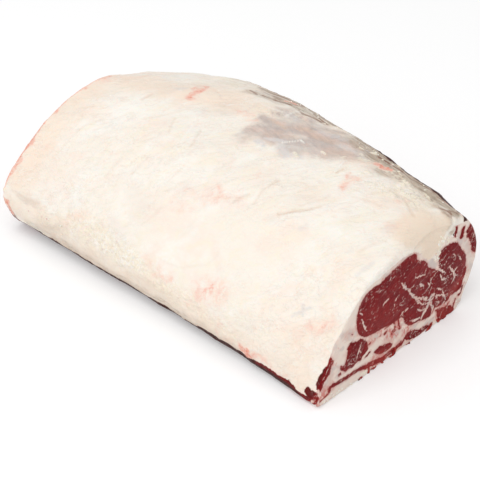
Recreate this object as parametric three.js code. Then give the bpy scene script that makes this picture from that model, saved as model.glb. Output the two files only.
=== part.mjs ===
// Raw beef rib roast: a boneless, lip-on rib eye roll lying fat cap up.
// Millimetres. +X runs along the length to the cut end with the large eye, +Y to the chine side,
// +Z up. The roast is one solid: its skin is a loft of rings that starts in the middle of the far
// cut face, opens out over its rim, runs along the roast and closes in the other cut face.

import * as THREE from 'three';
import { LoftGeometry } from 'three/addons/geometries/LoftGeometry.js';
import { mergeVertices } from 'three/addons/utils/BufferGeometryUtils.js';

// Driving dimensions.
const LENGTH = 360; // between the two cut faces
const BASE_Z = 0; // the flat underside
const CENTRE_ACROSS = 5.7; // middle of the widest stretch, moved onto the origin

// The section's landmarks as [across, up], at four even stations from the far end to the cut end.
const SECTION = {
  chineHeel: [[83, 0], [95, 0], [92, 0], [74, 0]],
  chineToe: [[98, 13], [110, 13], [106, 13], [84, 12]],
  chineFlank: [[111, 48], [119, 49], [118, 49], [96, 47]],
  chineShoulder: [[108, 73], [116, 94], [105, 94], [82, 84]],
  capChineSide: [[45, 98], [60, 113], [57, 110], [51, 97]],
  crest: [[9, 110], [14, 112], [15, 109], [11, 99]],
  capLipSide: [[-40, 100], [-37, 101], [-38, 99], [-44, 90]],
  lipShoulder: [[-81, 76], [-79, 75], [-72, 72], [-67, 68]],
  lipFlank: [[-112, 41], [-104, 39], [-98, 37], [-88, 36]],
  lipTip: [[-103, 9], [-101, 9], [-98, 7], [-99, 3]],
  lipHeel: [[-83, 0], [-87, 0], [-86, 0], [-90, 0]],
  underside: [[0, -4], [0, -4], [0, -4], [0, -4]],
};

// Rounded rims of the two cut faces.
const FAR_RIM = 5;
const CUT_RIM = 3.5;
const TRIMMED_RIM = 10; // where the butcher's knife has sloped the fat over the eye

// The sloped trim over the eye: past the line from the eye's tip to the top of the cap muscle,
// the cut face leans back towards the far end.
const TRIM_FROM = [11, 88];
const TRIM_TO = [46, 77];
const TRIM_SLOPE = 0.6;
const TRIM_LIP_SIDE = [-24, 16]; // it fades in between these two places across,
const TRIM_CHINE_SIDE = [44, 94]; // and out again between these
const TRIM_HEIGHT = [60, 85]; // only the rim above these heights is rounded by it

// Muscles that bulge in the cut faces, with the fat seams sunk between them.
const SEAM_DEPTH = 2.2;
const CUT_MUSCLES = [
  { name: 'eye', across: -14, up: 61, halfWide: 44, halfHigh: 25, turn: 8 },
  { name: 'eye corner', across: 16, up: 26, halfWide: 15, halfHigh: 18, turn: 20 },
  { name: 'cap', across: 60, up: 47, halfWide: 23, halfHigh: 29, turn: -10 },
  { name: 'lip muscle', across: -57, up: 30, halfWide: 16, halfHigh: 11, turn: 40 },
  { name: 'lip strip', across: -90, up: 28, halfWide: 14, halfHigh: 6, turn: 55 },
];
const FAR_MUSCLES = [
  { name: 'eye', across: 20, up: 61, halfWide: 54, halfHigh: 30, turn: -4 },
  { name: 'cap', across: -42, up: 74, halfWide: 30, halfHigh: 13, turn: 34 },
  { name: 'rib side', across: 30, up: 18, halfWide: 52, halfHigh: 9, turn: 0 },
  { name: 'lip muscle', across: -74, up: 34, halfWide: 22, halfHigh: 13, turn: 30 },
];

// Swells and hollows in the skin: middle [along, across, up], reach and height.
const SKIN_SWELLS = [
  { at: [25, -78, 69], reach: 34, height: 1.8 },
  { at: [72, -95, 40], reach: 26, height: 1.4 },
  { at: [105, 30, 107], reach: 30, height: 1.4 },
  { at: [-95, 15, 110], reach: 42, height: 1.6 },
  { at: [-60, 112, 62], reach: 34, height: 2.2 },
  { at: [60, 104, 58], reach: 30, height: 2 },
  { at: [-48, -75, 78], reach: 26, height: -2 },
  { at: [-144, -109, 41], reach: 15, height: -3 },
  { at: [45, 36, 112], reach: 38, height: -1.6 },
  { at: [0, 116, 50], reach: 24, height: -2.4 },
  { at: [-130, 100, 66], reach: 30, height: -1.8 },
  { at: [125, -50, 86], reach: 26, height: -1 },
  { at: [20, 109, 100], reach: 24, height: -3.8 },
];

// Long soft waves over the whole skin: [height, length along, length across, phase].
const SKIN_WAVES = [
  [0.9, 128, 96, 0.6],
  [0.6, 57, 71, 2.1],
];
const FLAT_UNTIL = 3; // the skin keeps its plain shape up to here,
const WAVY_FROM = 18; // and has its full relief from here up

// Shallow beds that the rib bones leave across the underside, with flat strips between them.
const RIB_COUNT = 7;
const RIB_PITCH = 50;
const RIB_HALF_WIDTH = 14;
const RIB_DEPTH = 3;
const RIB_FLOOR = 0.2; // share of the half width that is the bed's level floor
const RIB_REACH = [-62, -30]; // the beds run out between these two places on the lip side
const RIB_HEIGHT = [2, 9]; // and as the skin climbs from the first to the second height

// How finely the skin is divided.
const AROUND = 72;
const ALONG = 35;
const RIM_STEPS = 3;
const FACE_RINGS = 9;
const FACE_CORE = 0.08; // the innermost ring of a cut face, as a share of its outline
const FACE_SPINE_Z = 50; // a cut face's rings close in on a line at this height,
const FACE_SPINE_SHARE = 0.2; // this share of the face's width
const FACE_FADE = 0.14; // share of a cut face over which its relief dies out to the rim

/** Cubic through four values at -1, -1/3, 1/3 and 1. */
function throughStations([far, second, third, near], t) {
  const left = (t + 1 / 3) * (t - 1 / 3);
  const right = (t + 1) * (t - 1);
  return (far * (left * (1 - t)) + near * (left * (t + 1))) * (9 / 16)
    + (second * (right * (t - 1 / 3)) - third * (right * (t + 1 / 3))) * (27 / 16);
}

/** Smooth step from 0 at low to 1 at high. */
function rise(value, low, high) {
  return THREE.MathUtils.smoothstep(value, low, high);
}

/** Closed curve round the roast at t, from -1 at the far end to 1 at the cut end. */
function sectionCurve(t) {
  const points = Object.values(SECTION).map((stations) => new THREE.Vector3(
    0,
    throughStations(stations.map(([across]) => across), t),
    throughStations(stations.map(([, up]) => up), t),
  ));
  return new THREE.CatmullRomCurve3(points, true, 'centripetal');
}

/** Point on the plain skin and its outward direction across the roast. */
function skinPoint(t, turn) {
  const curve = sectionCurve(THREE.MathUtils.clamp(t, -1, 1));
  const nudge = 0.002;
  const place = curve.getPoint(turn % 1);
  const ahead = curve.getPoint((turn + nudge) % 1);
  const behind = curve.getPoint((turn + 1 - nudge) % 1);
  const outward = new THREE.Vector2(ahead.z - behind.z, behind.y - ahead.y).normalize();
  place.x = (t * LENGTH) / 2;
  return { place, outward };
}

/** Height of the swells, hollows and waves over the plain skin. */
function skinRelief({ x, y, z }) {
  let height = 0;
  for (const swell of SKIN_SWELLS) {
    const [along, across, up] = swell.at;
    const away = Math.hypot(x - along, y - across, z - up) / swell.reach;
    height += swell.height * Math.exp(-away * away);
  }
  for (const [size, along, across, phase] of SKIN_WAVES) {
    height += size * Math.sin((x / along) * 2 * Math.PI + phase)
      * Math.sin(((y - z) / across) * 2 * Math.PI + 2 * phase);
  }
  return height * rise(z, FLAT_UNTIL, WAVY_FROM);
}

/** How deep a rib's bed lies at a place on the underside. */
function ribBed({ x, y, z }) {
  const last = (RIB_COUNT - 1) / 2;
  const nearest = THREE.MathUtils.clamp(Math.round(x / RIB_PITCH), -last, last);
  const off = Math.abs(x - nearest * RIB_PITCH) / RIB_HALF_WIDTH;
  const inBed = (1 - rise(off, RIB_FLOOR, 1)) * rise(y, ...RIB_REACH);
  return RIB_DEPTH * inBed * (1 - rise(z, ...RIB_HEIGHT));
}

/** How much a place on the cut face belongs to the sloped trim, from 0 to 1. */
function trimShare(across) {
  return rise(across, ...TRIM_LIP_SIDE) * (1 - rise(across, ...TRIM_CHINE_SIDE));
}

/** How far the sloped trim takes the cut face back at a place on it. */
function trimDepth(across, up) {
  const line = new THREE.Vector2(TRIM_TO[0] - TRIM_FROM[0], TRIM_TO[1] - TRIM_FROM[1]).normalize();
  const past = (across - TRIM_FROM[0]) * -line.y + (up - TRIM_FROM[1]) * line.x;
  return TRIM_SLOPE * Math.max(0, past) * trimShare(across);
}

/** How far the fat seams between the muscles lie below a cut face. */
function seamDepth(muscles, across, up) {
  let fill = 0;
  for (const muscle of muscles) {
    const turn = THREE.MathUtils.degToRad(muscle.turn);
    const [y, z] = [across - muscle.across, up - muscle.up];
    const wide = (y * Math.cos(turn) + z * Math.sin(turn)) / muscle.halfWide;
    const high = (z * Math.cos(turn) - y * Math.sin(turn)) / muscle.halfHigh;
    fill = Math.max(fill, 1 - (wide * wide + high * high) ** 2);
  }
  return SEAM_DEPTH * (1 - fill);
}

// The two ends: sign along X, muscles, rim radius and how far the face is set back at a place.
const FAR_END = {
  side: -1,
  muscles: FAR_MUSCLES,
  rim: () => FAR_RIM,
  setBack: () => 0,
};
const CUT_END = {
  side: 1,
  muscles: CUT_MUSCLES,
  rim: ({ y, z }) => CUT_RIM + (TRIMMED_RIM - CUT_RIM) * trimShare(y) * rise(z, ...TRIM_HEIGHT),
  setBack: ({ y, z }) => trimDepth(y, z),
};

/** Where the plain skin gives way to the rim of an end, for each turn round the roast. */
function rimStart(end, turn) {
  const { place } = skinPoint(end.side, turn);
  const radius = end.rim(place);
  const reach = LENGTH / 2 - end.setBack(place) - radius;
  return { t: (end.side * reach * 2) / LENGTH, radius };
}

/** The skin with its relief, kept on or above the flat base. */
function skinWithRelief(t, turn) {
  const { place, outward } = skinPoint(t, turn);
  const height = skinRelief(place);
  place.y += outward.x * height;
  place.z = Math.max(BASE_Z, place.z + outward.y * height);
  place.z += ribBed(place);
  return { place, outward };
}

/** One ring over an end's rounded rim; step runs from 0 on the skin to 1 on the face. */
function rimRing(end, step) {
  return turns().map((turn) => {
    const { t, radius } = rimStart(end, turn);
    const { place, outward } = skinWithRelief(t, turn);
    const angle = (step * Math.PI) / 2;
    place.x += end.side * radius * Math.sin(angle);
    place.y -= outward.x * radius * (1 - Math.cos(angle));
    place.z -= outward.y * radius * (1 - Math.cos(angle));
    return place;
  });
}

/** One ring within a cut face; share runs from 1 at the rim down to FACE_CORE. */
function faceRing(end, share) {
  return rimRing(end, 1).map((edge) => {
    const place = new THREE.Vector3(
      edge.x,
      THREE.MathUtils.lerp(FACE_SPINE_SHARE * edge.y, edge.y, share),
      THREE.MathUtils.lerp(FACE_SPINE_Z, edge.z, share),
    );
    const inFace = 1 - rise(share, 1 - FACE_FADE, 1);
    const level = LENGTH / 2 - end.setBack(place) - seamDepth(end.muscles, place.y, place.z);
    place.x = THREE.MathUtils.lerp(edge.x, end.side * level, inFace);
    return place;
  });
}

/** Even turns round the roast, as shares of one round. */
function turns() {
  return Array.from({ length: AROUND }, (_, index) => index / AROUND);
}

/** The point that closes a cut face, as a ring of its own. */
function middleRing(end) {
  const ring = faceRing(end, FACE_CORE);
  const middle = ring.reduce((sum, place) => sum.add(place), new THREE.Vector3());
  middle.divideScalar(ring.length);
  return ring.map(() => middle.clone());
}

/** Rings of a face and its rim, from the middle of the face to the skin. */
function endRings(end) {
  const rings = [middleRing(end)];
  for (let ring = 0; ring < FACE_RINGS; ring += 1) {
    rings.push(faceRing(end, THREE.MathUtils.lerp(FACE_CORE, 1, ring / FACE_RINGS)));
  }
  for (let step = RIM_STEPS; step > 0; step -= 1) {
    rings.push(rimRing(end, step / RIM_STEPS));
  }
  return rings;
}

/** Rings along the roast, between the two rims. */
function bodyRings() {
  const starts = turns().map((turn) => [rimStart(FAR_END, turn).t, rimStart(CUT_END, turn).t]);
  return Array.from({ length: ALONG + 1 }, (_, row) => turns().map((turn, index) => {
    const [far, near] = starts[index];
    return skinWithRelief(THREE.MathUtils.lerp(far, near, row / ALONG), turn).place;
  }));
}

/** Drops the triangles that closing a ring to a point leaves with two corners in one. */
function dropCollapsed(geometry) {
  const corners = Array.from(geometry.index.array);
  const kept = [];
  for (let first = 0; first < corners.length; first += 3) {
    const [a, b, c] = corners.slice(first, first + 3);
    if (a !== b && b !== c && c !== a) kept.push(a, b, c);
  }
  geometry.setIndex(kept);
}

/** The whole skin as one closed geometry with shared vertices. */
function roastGeometry() {
  const rings = [...endRings(FAR_END), ...bodyRings(), ...endRings(CUT_END).reverse()];
  const loft = new LoftGeometry(rings);
  const skin = new THREE.BufferGeometry();
  skin.setIndex(loft.index);
  skin.setAttribute('position', loft.getAttribute('position'));
  const geometry = mergeVertices(skin);
  dropCollapsed(geometry);
  geometry.translate(0, -CENTRE_ACROSS, 0);
  geometry.computeVertexNormals();
  return geometry;
}

/** Creamy beef fat, which covers nearly all of the skin that shows. */
function roastMaterial() {
  return new THREE.MeshStandardMaterial({ color: 0xf3e6d8, roughness: 0.5, metalness: 0 });
}

const roast = new THREE.Mesh(roastGeometry(), roastMaterial());
roast.name = 'rib_roast';

const group = new THREE.Group();
group.add(roast);

export default group;
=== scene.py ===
"""Raw beef rib roast, lying fat cap up: its looks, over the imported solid.

The roast is a boneless, lip-on rib eye roll. Lengths are in millimetres and become metres
when a mesh is made. +X runs along the roast to the cut end with the open eye muscle, +Y to the
chine side and +Z up through the fat cap. The whole surface is one grid of points, with a
column for each turn round the roast and a row for each step from the far face's middle over
the skin to the cut face's middle, and the pieces are blocks of that grid.
"""

import functools
import itertools
import math

import bpy
import numpy as np
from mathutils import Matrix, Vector


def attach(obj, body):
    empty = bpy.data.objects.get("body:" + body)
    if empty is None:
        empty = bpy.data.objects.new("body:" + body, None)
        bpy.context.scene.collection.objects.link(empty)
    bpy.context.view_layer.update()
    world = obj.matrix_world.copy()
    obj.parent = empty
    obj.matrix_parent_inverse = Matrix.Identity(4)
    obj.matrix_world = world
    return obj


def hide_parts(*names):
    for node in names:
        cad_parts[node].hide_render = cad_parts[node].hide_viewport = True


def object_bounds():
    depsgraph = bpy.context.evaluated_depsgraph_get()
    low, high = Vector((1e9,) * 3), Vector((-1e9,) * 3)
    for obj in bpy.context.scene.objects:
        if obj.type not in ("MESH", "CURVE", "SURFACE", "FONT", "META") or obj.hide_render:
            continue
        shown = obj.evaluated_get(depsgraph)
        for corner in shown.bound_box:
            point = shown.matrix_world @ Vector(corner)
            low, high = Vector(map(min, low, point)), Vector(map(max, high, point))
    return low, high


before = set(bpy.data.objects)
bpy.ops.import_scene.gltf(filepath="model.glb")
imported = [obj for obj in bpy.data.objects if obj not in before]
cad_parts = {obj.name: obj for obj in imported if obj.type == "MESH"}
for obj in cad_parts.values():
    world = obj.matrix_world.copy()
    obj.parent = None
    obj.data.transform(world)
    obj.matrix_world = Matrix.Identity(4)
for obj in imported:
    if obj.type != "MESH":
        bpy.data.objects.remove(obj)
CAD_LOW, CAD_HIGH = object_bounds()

bl_info = {
    "name": "Rib Roast",
    "version": (1, 0, 0),
    "blender": (4, 5, 0),
    "location": "View3D > Sidebar > Roast",
    "description": "Raw beef rib roast with its fat cap, cut faces and rib side",
    "category": "Add Mesh",
}

NODE = "rib_roast"
BODY = "root"
MM = 0.001

# -------- the roast's form

LENGTH = (CAD_HIGH.x - CAD_LOW.x) / MM
CENTRE_ACROSS = 5.7  # the section below is drawn this much further to the chine side

# The section's landmarks as (across, up), at four even stations from the far to the cut end.
SECTION = {
    "chine heel": [(83, 0), (95, 0), (92, 0), (74, 0)],
    "chine toe": [(98, 13), (110, 13), (106, 13), (84, 12)],
    "chine flank": [(111, 48), (119, 49), (118, 49), (96, 47)],
    "chine shoulder": [(108, 73), (116, 94), (105, 94), (82, 84)],
    "cap, chine side": [(45, 98), (60, 113), (57, 110), (51, 97)],
    "crest": [(9, 110), (14, 112), (15, 109), (11, 99)],
    "cap, lip side": [(-40, 100), (-37, 101), (-38, 99), (-44, 90)],
    "lip shoulder": [(-81, 76), (-79, 75), (-72, 72), (-67, 68)],
    "lip flank": [(-112, 41), (-104, 39), (-98, 37), (-88, 36)],
    "lip tip": [(-103, 9), (-101, 9), (-98, 7), (-99, 3)],
    "lip heel": [(-83, 0), (-87, 0), (-86, 0), (-90, 0)],
    "underside": [(0, -4), (0, -4), (0, -4), (0, -4)],
}
CREST = list(SECTION).index("crest") / len(SECTION)

# How the skin rounds over into the cut faces: radii, and where they hold.
FAR_RIM = 5
CUT_RIM = 3.5
LOW_RIM = 1.2  # along the crisp bottom edge of the cut end
LOW_RIM_HEIGHT = (5, 18)
TRIMMED_RIM = 20  # where the knife has sloped the fat over the eye

# The sloped trim over the eye: the fold below it, its slope, and where it runs out.
TRIM_FROM = (11, 88)
TRIM_TO = (46, 77)
TRIM_SLOPE = 0.6
TRIM_LIP_SIDE = (-24, 16)
TRIM_CHINE_SIDE = (44, 94)
TRIM_HEIGHT = (60, 85)

# Muscles that bulge in the cut faces: across, up, half width, half height, turn in degrees.
SEAM_DEPTH = 1.0
CUT_BULGES = [(-14, 61, 44, 25, 8), (16, 26, 15, 18, 20), (60, 47, 23, 29, -10),
              (-57, 30, 16, 11, 40), (-90, 28, 14, 6, 55)]
FAR_BULGES = [(20, 61, 54, 30, -4), (-42, 74, 30, 13, 34), (30, 18, 52, 9, 0), (-74, 34, 22, 13, 30)]

# Swells and hollows in the skin: along, across, up, reach, height.
SKIN_SWELLS = [
    (25, -78, 69, 34, 1.8), (72, -95, 40, 26, 1.4), (105, 30, 107, 30, 1.4), (-95, 15, 110, 42, 1.6),
    (-60, 112, 62, 34, 2.2), (60, 104, 58, 30, 2), (-48, -75, 78, 26, -2), (-144, -109, 41, 15, -3),
    (45, 36, 112, 38, -1.6), (0, 116, 50, 24, -2.4), (-130, 100, 66, 30, -1.8), (125, -50, 86, 26, -1),
    (20, 109, 100, 24, -3.8),
]
# Long soft waves over the skin: height, length along, length across, phase.
SKIN_WAVES = [(0.9, 128, 96, 0.6), (0.6, 57, 71, 2.1)]
WAVY_HEIGHT = (3, 18)

# Beds that the rib bones leave across the underside.
RIB_COUNT = 7
RIB_PITCH = 50
RIB_HALF_WIDTH = 14
RIB_DEPTH = 3
RIB_FLOOR = 0.2
RIB_REACH = (-62, -30)
RIB_HEIGHT = (2, 9)

# -------- how finely it is meshed

CAP_TURNS = (2.55 / 12, 9.25 / 12)  # the fat cap, from the chine side over to the lip's tip
CAP_COLUMNS = 312
RIB_COLUMNS = 184
SKIN_ROWS = 246
COLLAR_ROWS = 5  # rows of skin that belong to an end's piece
RIM_RINGS = 14
CUT_RINGS = 120
FAR_RINGS = 46
FACE_MIDDLE = (0, 50)
FACE_FADE = 0.14  # a cut face is level this far in from its rim, as a share of the way

# -------- marks on the skin

# Each is a soft stroke (start, end, half width, strength), with its ends as (along, round from
# the crest). A strength above 1 makes a stroke fuller towards its edges.

# Red smears, where lean shows through the fat or has stained it.
BLUSHES = [
    ((-86, 17), (-95, 45), 6, 1), ((-53, -37), (-55, -19), 5, 0.35), ((-83, -43), (-76, -45), 4, 0.25),
    ((-91, -73), (-86, -71), 3.5, 0.5), ((-126, -90), (-118, -86), 5, 0.4),
    ((-156, -94), (-148, -92), 6, 0.5), ((-170, -5), (-163, 12), 5, 0.5),
    ((-114, -118), (-103, -127), 6, 0.3), ((-102, -143), (-83, -127), 7, 0.45),
    ((-11, -80), (-1, -69), 6, 0.4), ((14, -67), (39, -58), 10, 0.5), ((17, -55), (24, -62), 5, 0.6),
    ((-2, -88), (10, -80), 6, 0.4), ((-7, -134), (-2, -137), 5, 0.45), ((8, -144), (22, -140), 6, 0.6),
    ((10, -137), (19, -136), 8, 0.35), ((48, -102), (64, -113), 6, 0.35),
    ((52, -138), (70, -130), 14, 0.6), ((60, -131), (62, -138), 4, 0.95),
    ((66, -140), (72, -144), 5, 0.4), ((42, -153), (44, -152), 2.2, 0.5),
    ((98, -136), (101, -135), 5, 0.4), ((-37, 28), (-27, 32), 5, 0.6), ((-24, 22), (-17, 27), 3.5, 0.6),
    ((-30, 80), (-24, 84), 3, 1.3), ((76, 35), (91, 59), 5, 0.5), ((93, 60), (102, 66), 5, 1.6),
    ((98, 5), (94, 23), 6, 0.8), ((94, 21), (107, 18), 6, 0.35), ((108, 11), (112, 20), 3, 0.3),
    ((155, -3), (160, 6), 6, 0.4), ((152, 18), (160, 11), 3, 0.4), ((156, 91), (172, 91), 3, 1.1),
    ((141, 25), (142, 36), 3, 0.5), ((93, -17), (94, -15), 2.5, 0.4), ((77, -12), (83, -5), 6, 0.25),
    ((156, -124), (166, -110), 8, 0.6), ((162, -116), (164, -114), 2.5, 1),
    ((148, -134), (158, -124), 7, 0.4), ((121, -71), (133, -84), 5, 0.3),
    ((135, -73), (138, -71), 4, 0.4), ((150, -58), (162, -70), 6, 0.25),
    ((76, -161), (81, -155), 5, 0.5), ((110, -142), (112, -140), 4, 0.4),
    ((169, -135), (171, -134), 5, 0.3), ((27, -19), (33, -24), 2.2, 0.35),
    ((52, -150), (58, -151), 5, 0.3), ((84, -167), (92, -164), 4, 0.4),
    ((-75, -80), (-64, -84), 6, 0.2), ((-180, -138), (-180, -108), 5, 1.3),
    ((-180, -108), (-180, -86), 5.4, 1.7), ((-180, -86), (-180, -20), 4.8, 1.2),
    ((-180, -20), (-175, 4), 5, 0.9), ((-173, 4), (-155, 38), 5.5, 0.4),
    ((-178, -144), (-175, -152), 4, 1.3), ((-175, -152), (-173, -164), 4.2, 1.5),
    ((104, -164), (110, -171), 5, 1.6), ((112, -164), (128, -163), 4, 0.6),
    ((132, -166), (150, -164), 3.5, 0.5),
]
# Thin grey skin over the middle of the cap.
SILVERSKIN = [
    ((-8, 2), (-7, 24), 11, 0.5), ((-6, 13), (3, 40), 13, 0.7), ((-3, 19), (18, 44), 14, 0.85),
    ((-12, 34), (5, 38), 10, 0.75), ((-12, 56), (10, 61), 12, 0.8), ((15, 47), (47, 60), 15, 1),
    ((12, 59), (35, 75), 9, 0.7), ((42, 41), (67, 55), 15, 0.9), ((31, 16), (58, 38), 12, 0.7),
    ((47, 62), (80, 72), 12, 0.8), ((99, 51), (117, 65), 10, 0.5), ((-59, 9), (-43, 20), 7, 0.3),
    ((-58, 27), (-36, 34), 8, 0.25), ((84, 62), (112, 72), 9, 0.5), ((8, 14), (36, 34), 10, 0.85),
]
# Small bluish veins under the fat.
BLUE_VEINS = [
    ((-106, 23), (-102, 27), 4, 0.6), ((7, 12), (22, 20), 2.5, 0.9), ((23, 20), (30, 33), 1.2, 0.3),
    ((4, 5), (11, 4), 3.5, 1), ((24, 13), (37, 6), 4.5, 0.8), ((35, 8), (45, 13), 4, 0.6),
    ((-11, 57), (3, 56), 5, 0.6), ((25, 58), (49, 70), 5, 0.6), ((52, 56), (66, 59), 5, 0.6),
    ((142, -113), (136, -121), 1.8, 0.7), ((142, -113), (146, -107), 1.8, 0.8),
    ((140, -109), (143, -116), 1.6, 0.7), ((167, -55), (169, -38), 2.4, 0.6),
    ((70, 75), (77, 79), 2, 0.7), ((155, -9), (156, -2), 5, 0.4), ((147, -94), (159, -86), 2.2, 0.3),
    ((104, -50), (105, -44), 3, 0.4), ((147, -43), (149, -39), 2.4, 0.4),
    ((-52, -123), (-38, -127), 8, 0.35), ((-43, -133), (-32, -134), 6, 0.3),
]
# Shaded wrinkles, and the edges of the silverskin.
CREASES = [
    ((80, -50), (98, -28), 1.3, 1), ((98, -28), (101, -22), 1.2, 0.6), ((50, -37), (53, -22), 1.3, 0.8),
    ((55, -52), (51, -36), 1.2, 0.5), ((180, -106), (179, -102), 1.3, 0.9),
    ((144, 34), (158, 23), 1.6, 0.7), ((81, 26), (81, 18), 1.3, 0.8),
    ((-15, -94), (-25, -112), 1.3, 0.25), ((39, -59), (44, -47), 1.4, 0.6),
    ((5, -131), (25, -130), 1.2, 0.2), ((25, -130), (49, -117), 1.2, 0.2),
    ((49, -117), (54, -105), 1.2, 0.2), ((-44, -13), (-34, -35), 1.4, 0.5),
    ((-64, -32), (-72, -14), 1.3, 0.4), ((-61, -79), (-60, -63), 1.2, 0.6),
    ((88, -32), (97, -9), 1.2, 0.35), ((2, -43), (7, -23), 1.2, 0.35),
    ((-91, -26), (-73, 4), 1.3, 0.35), ((162, 63), (173, 71), 1.4, 0.6), ((177, 22), (179, 50), 3, 0.3),
    ((152, 62), (160, 63), 1.6, 0.8), ((-167, -139), (-151, -142), 1.4, 0.4),
    ((-151, -142), (-136, -140), 1.8, 0.4), ((-131, -161), (-109, -153), 2, 0.4),
    ((-117, -10), (-115, -1), 2, 0.7), ((154, -36), (162, -17), 1.4, 0.4),
    ((112, 2), (133, 12), 1.3, 0.35), ((-83, -92), (-80, -75), 1.2, 0.3),
    ((-141, -69), (-129, -47), 1.3, 0.3), ((-9, 38), (7, 37), 2.2, 0.9), ((6, 38), (17, 46), 2, 0.5),
    ((14, 49), (24, 56), 3, 0.9), ((30, 49), (50, 56), 4, 0.7), ((16, 22), (23, 33), 2.6, 0.6),
    ((2, 14), (11, 26), 3, 0.4), ((-6, 1), (-6, 13), 2.4, 0.4), ((58, 46), (67, 55), 3, 0.4),
    ((72, 41), (90, 59), 3, 0.4),
]
# Dried brown edges of the membrane along the chine ridge and the lip; the last two rows are a painted
# shadow line under the lip's edge.
DARK_LINES_AND_LIP_SHADOW = [
    ((-105, 74), (-79, 77), 1.4, 0.6), ((-64, 67), (-53, 63), 1.8, 0.9),
    ((-62, 73), (-39, 79), 2.2, 0.7), ((-49, 67), (-35, 70), 2, 1), ((-43, 68), (-22, 75), 2, 1),
    ((-40, 73), (-29, 82), 1.6, 0.7), ((-10, 73), (-2, 70), 2.2, 1), ((-4, 72), (12, 79), 2.4, 1),
    ((-2, 85), (19, 82), 1.6, 1), ((44, 84), (66, 88), 1.4, 0.8), ((70, 74), (75, 79), 2, 0.7),
    ((83, 79), (90, 81), 2.4, 1), ((83, 88), (88, 90), 1.8, 1), ((90, 81), (107, 83), 2.2, 1),
    ((105, 84), (122, 80), 1.4, 0.9), ((100, 92), (121, 88), 1.2, 0.8),
    ((118, 74), (128, 73), 1.4, 0.7), ((122, 82), (141, 89), 1.6, 1), ((120, 68), (117, 65), 1.6, 0.4),
    ((130, 61), (136, 61), 1.8, 0.7), ((146, 87), (163, 91), 1.6, 1), ((161, 65), (169, 72), 2.2, 1),
    ((166, 74), (171, 84), 2, 0.9), ((166, 60), (172, 70), 1.6, 0.8), ((142, 69), (153, 65), 1.4, 0.6),
    ((99, 75), (109, 74), 1.6, 0.7), ((0, 43), (-5, 42), 1.5, 0.6),
    ((-176.5, -89), (-176.5, -106), 2, 1), ((-172, -159), (-170, -168), 3, 1),
    ((-52, 84), (-20, 88), 3.4, 0.9), ((-44, 77), (-20, 80), 2.4, 0.7),
    # Painted shadow: the dark line where the lip's edge turns under.
    ((-150, -180), (-30, -180), 6, 1), ((-30, -180), (156, -180), 8, 1),
]
# Raised pale threads.
THREADS = [
    ((21, 17), (30, 33), 0.55, 0.9), ((29, 32), (33, 32), 1, 0.9), ((75, 36), (79, 19), 0.9, 1),
    ((11, -1), (10, 4), 1.2, 0.7), ((-59, -2), (-52, -16), 1.2, 0.6),
    ((-52, -16), (-45, -35), 1.2, 0.6), ((-45, -41), (-26, -52), 1, 0.6),
    ((-43, -16), (-39, -47), 1, 0.5), ((-60, -65), (-61, -76), 1, 0.6), ((50, -49), (50, -28), 1, 0.5),
    ((83, -50), (102, -27), 1, 0.4), ((-77, -96), (-77, -101), 1, 0.7),
    ((-91, -71), (-91, -66), 1, 0.5), ((-6, 52), (-9, 74), 1.6, 0.5), ((-33, 50), (-13, 55), 1.6, 0.5),
]
# Raised nubs of fat.
NUBS = [
    ((53, 34), (55, 34), 2.2, 1), ((38, 14), (43, 12), 2, 0.8), ((75, 77), (78, 80), 2.2, 1),
    ((66, 71), (68, 72), 1.8, 0.9), ((122, 63), (124, 66), 2.6, 1), ((124, 58), (124, 54), 2, 0.8),
    ((135, 44), (141, 55), 3.4, 0.9), ((140, 72), (146, 70), 1.8, 0.8), ((73, 60), (74, 63), 1.8, 0.7),
    ((96, 34), (97, 34), 1.6, 0.8), ((97, 40), (101, 40), 1.8, 0.8), ((106, 25), (112, 31), 2.2, 0.6),
    ((99, 90), (100, 90), 1.4, 1), ((-5, -13), (-1, -14), 1.4, 0.7), ((0, -23), (2, -24), 1.4, 0.6),
    ((69, 40), (69, 44), 1.4, 0.6), ((18, 83), (37, 88), 1.8, 0.6),
    ((-177, -142), (-175, -142), 1.4, 1),
]
# Greyish membrane over the ridges, which also paints shade: darker where the chine ridge turns away from
# the light, and a painted shade band along the lip's lower edge (the rows round -170 to -177).
DULL_AND_SHADED_PATCHES = [
    ((-98, 67), (-70, 73), 7, 0.3), ((-98, 84), (-66, 88), 8, 0.35), ((-62, 65), (-30, 72), 8, 0.55),
    ((-40, 76), (-20, 80), 8, 0.7), ((-62, 84), (-20, 89), 9, 0.75), ((-14, 76), (17, 83), 8, 0.65),
    ((-14, 90), (20, 93), 7, 0.8), ((29, 73), (49, 78), 8, 0.3), ((26, 92), (50, 92), 7, 0.6),
    ((52, 76), (78, 78), 11, 0.75), ((52, 90), (80, 91), 10, 1), ((82, 76), (114, 74), 13, 1),
    ((82, 91), (116, 91), 13, 1), ((108, 82), (145, 80), 14, 1), ((112, 94), (146, 94), 12, 1),
    ((146, 75), (165, 82), 11, 1), ((158, 64), (170, 63), 6, 0.8), ((168, 72), (172, 83), 3.6, 1.2),
    ((144, 90), (166, 94), 10, 1), ((104, 54), (117, 65), 8, 0.6), ((135, 35), (147, 42), 6, 0.3),
    ((140, 60), (155, 56), 7, 0.4), ((57, 39), (76, 47), 8, 0.3), ((-132, -160), (-104, -153), 9, 0.25),
    ((-160, -143), (-141, -144), 4, 0.3), ((-150, -170), (-60, -170), 9, 0.5),
    ((-60, -170), (40, -170), 9, 0.52), ((40, -171), (110, -170), 8, 0.5),
    ((-20, -158), (30, -160), 8, 0.25), ((-150, -177), (30, -176), 5, 0.8),
    ((30, -177), (110, -176), 5, 0.6),
]
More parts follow.
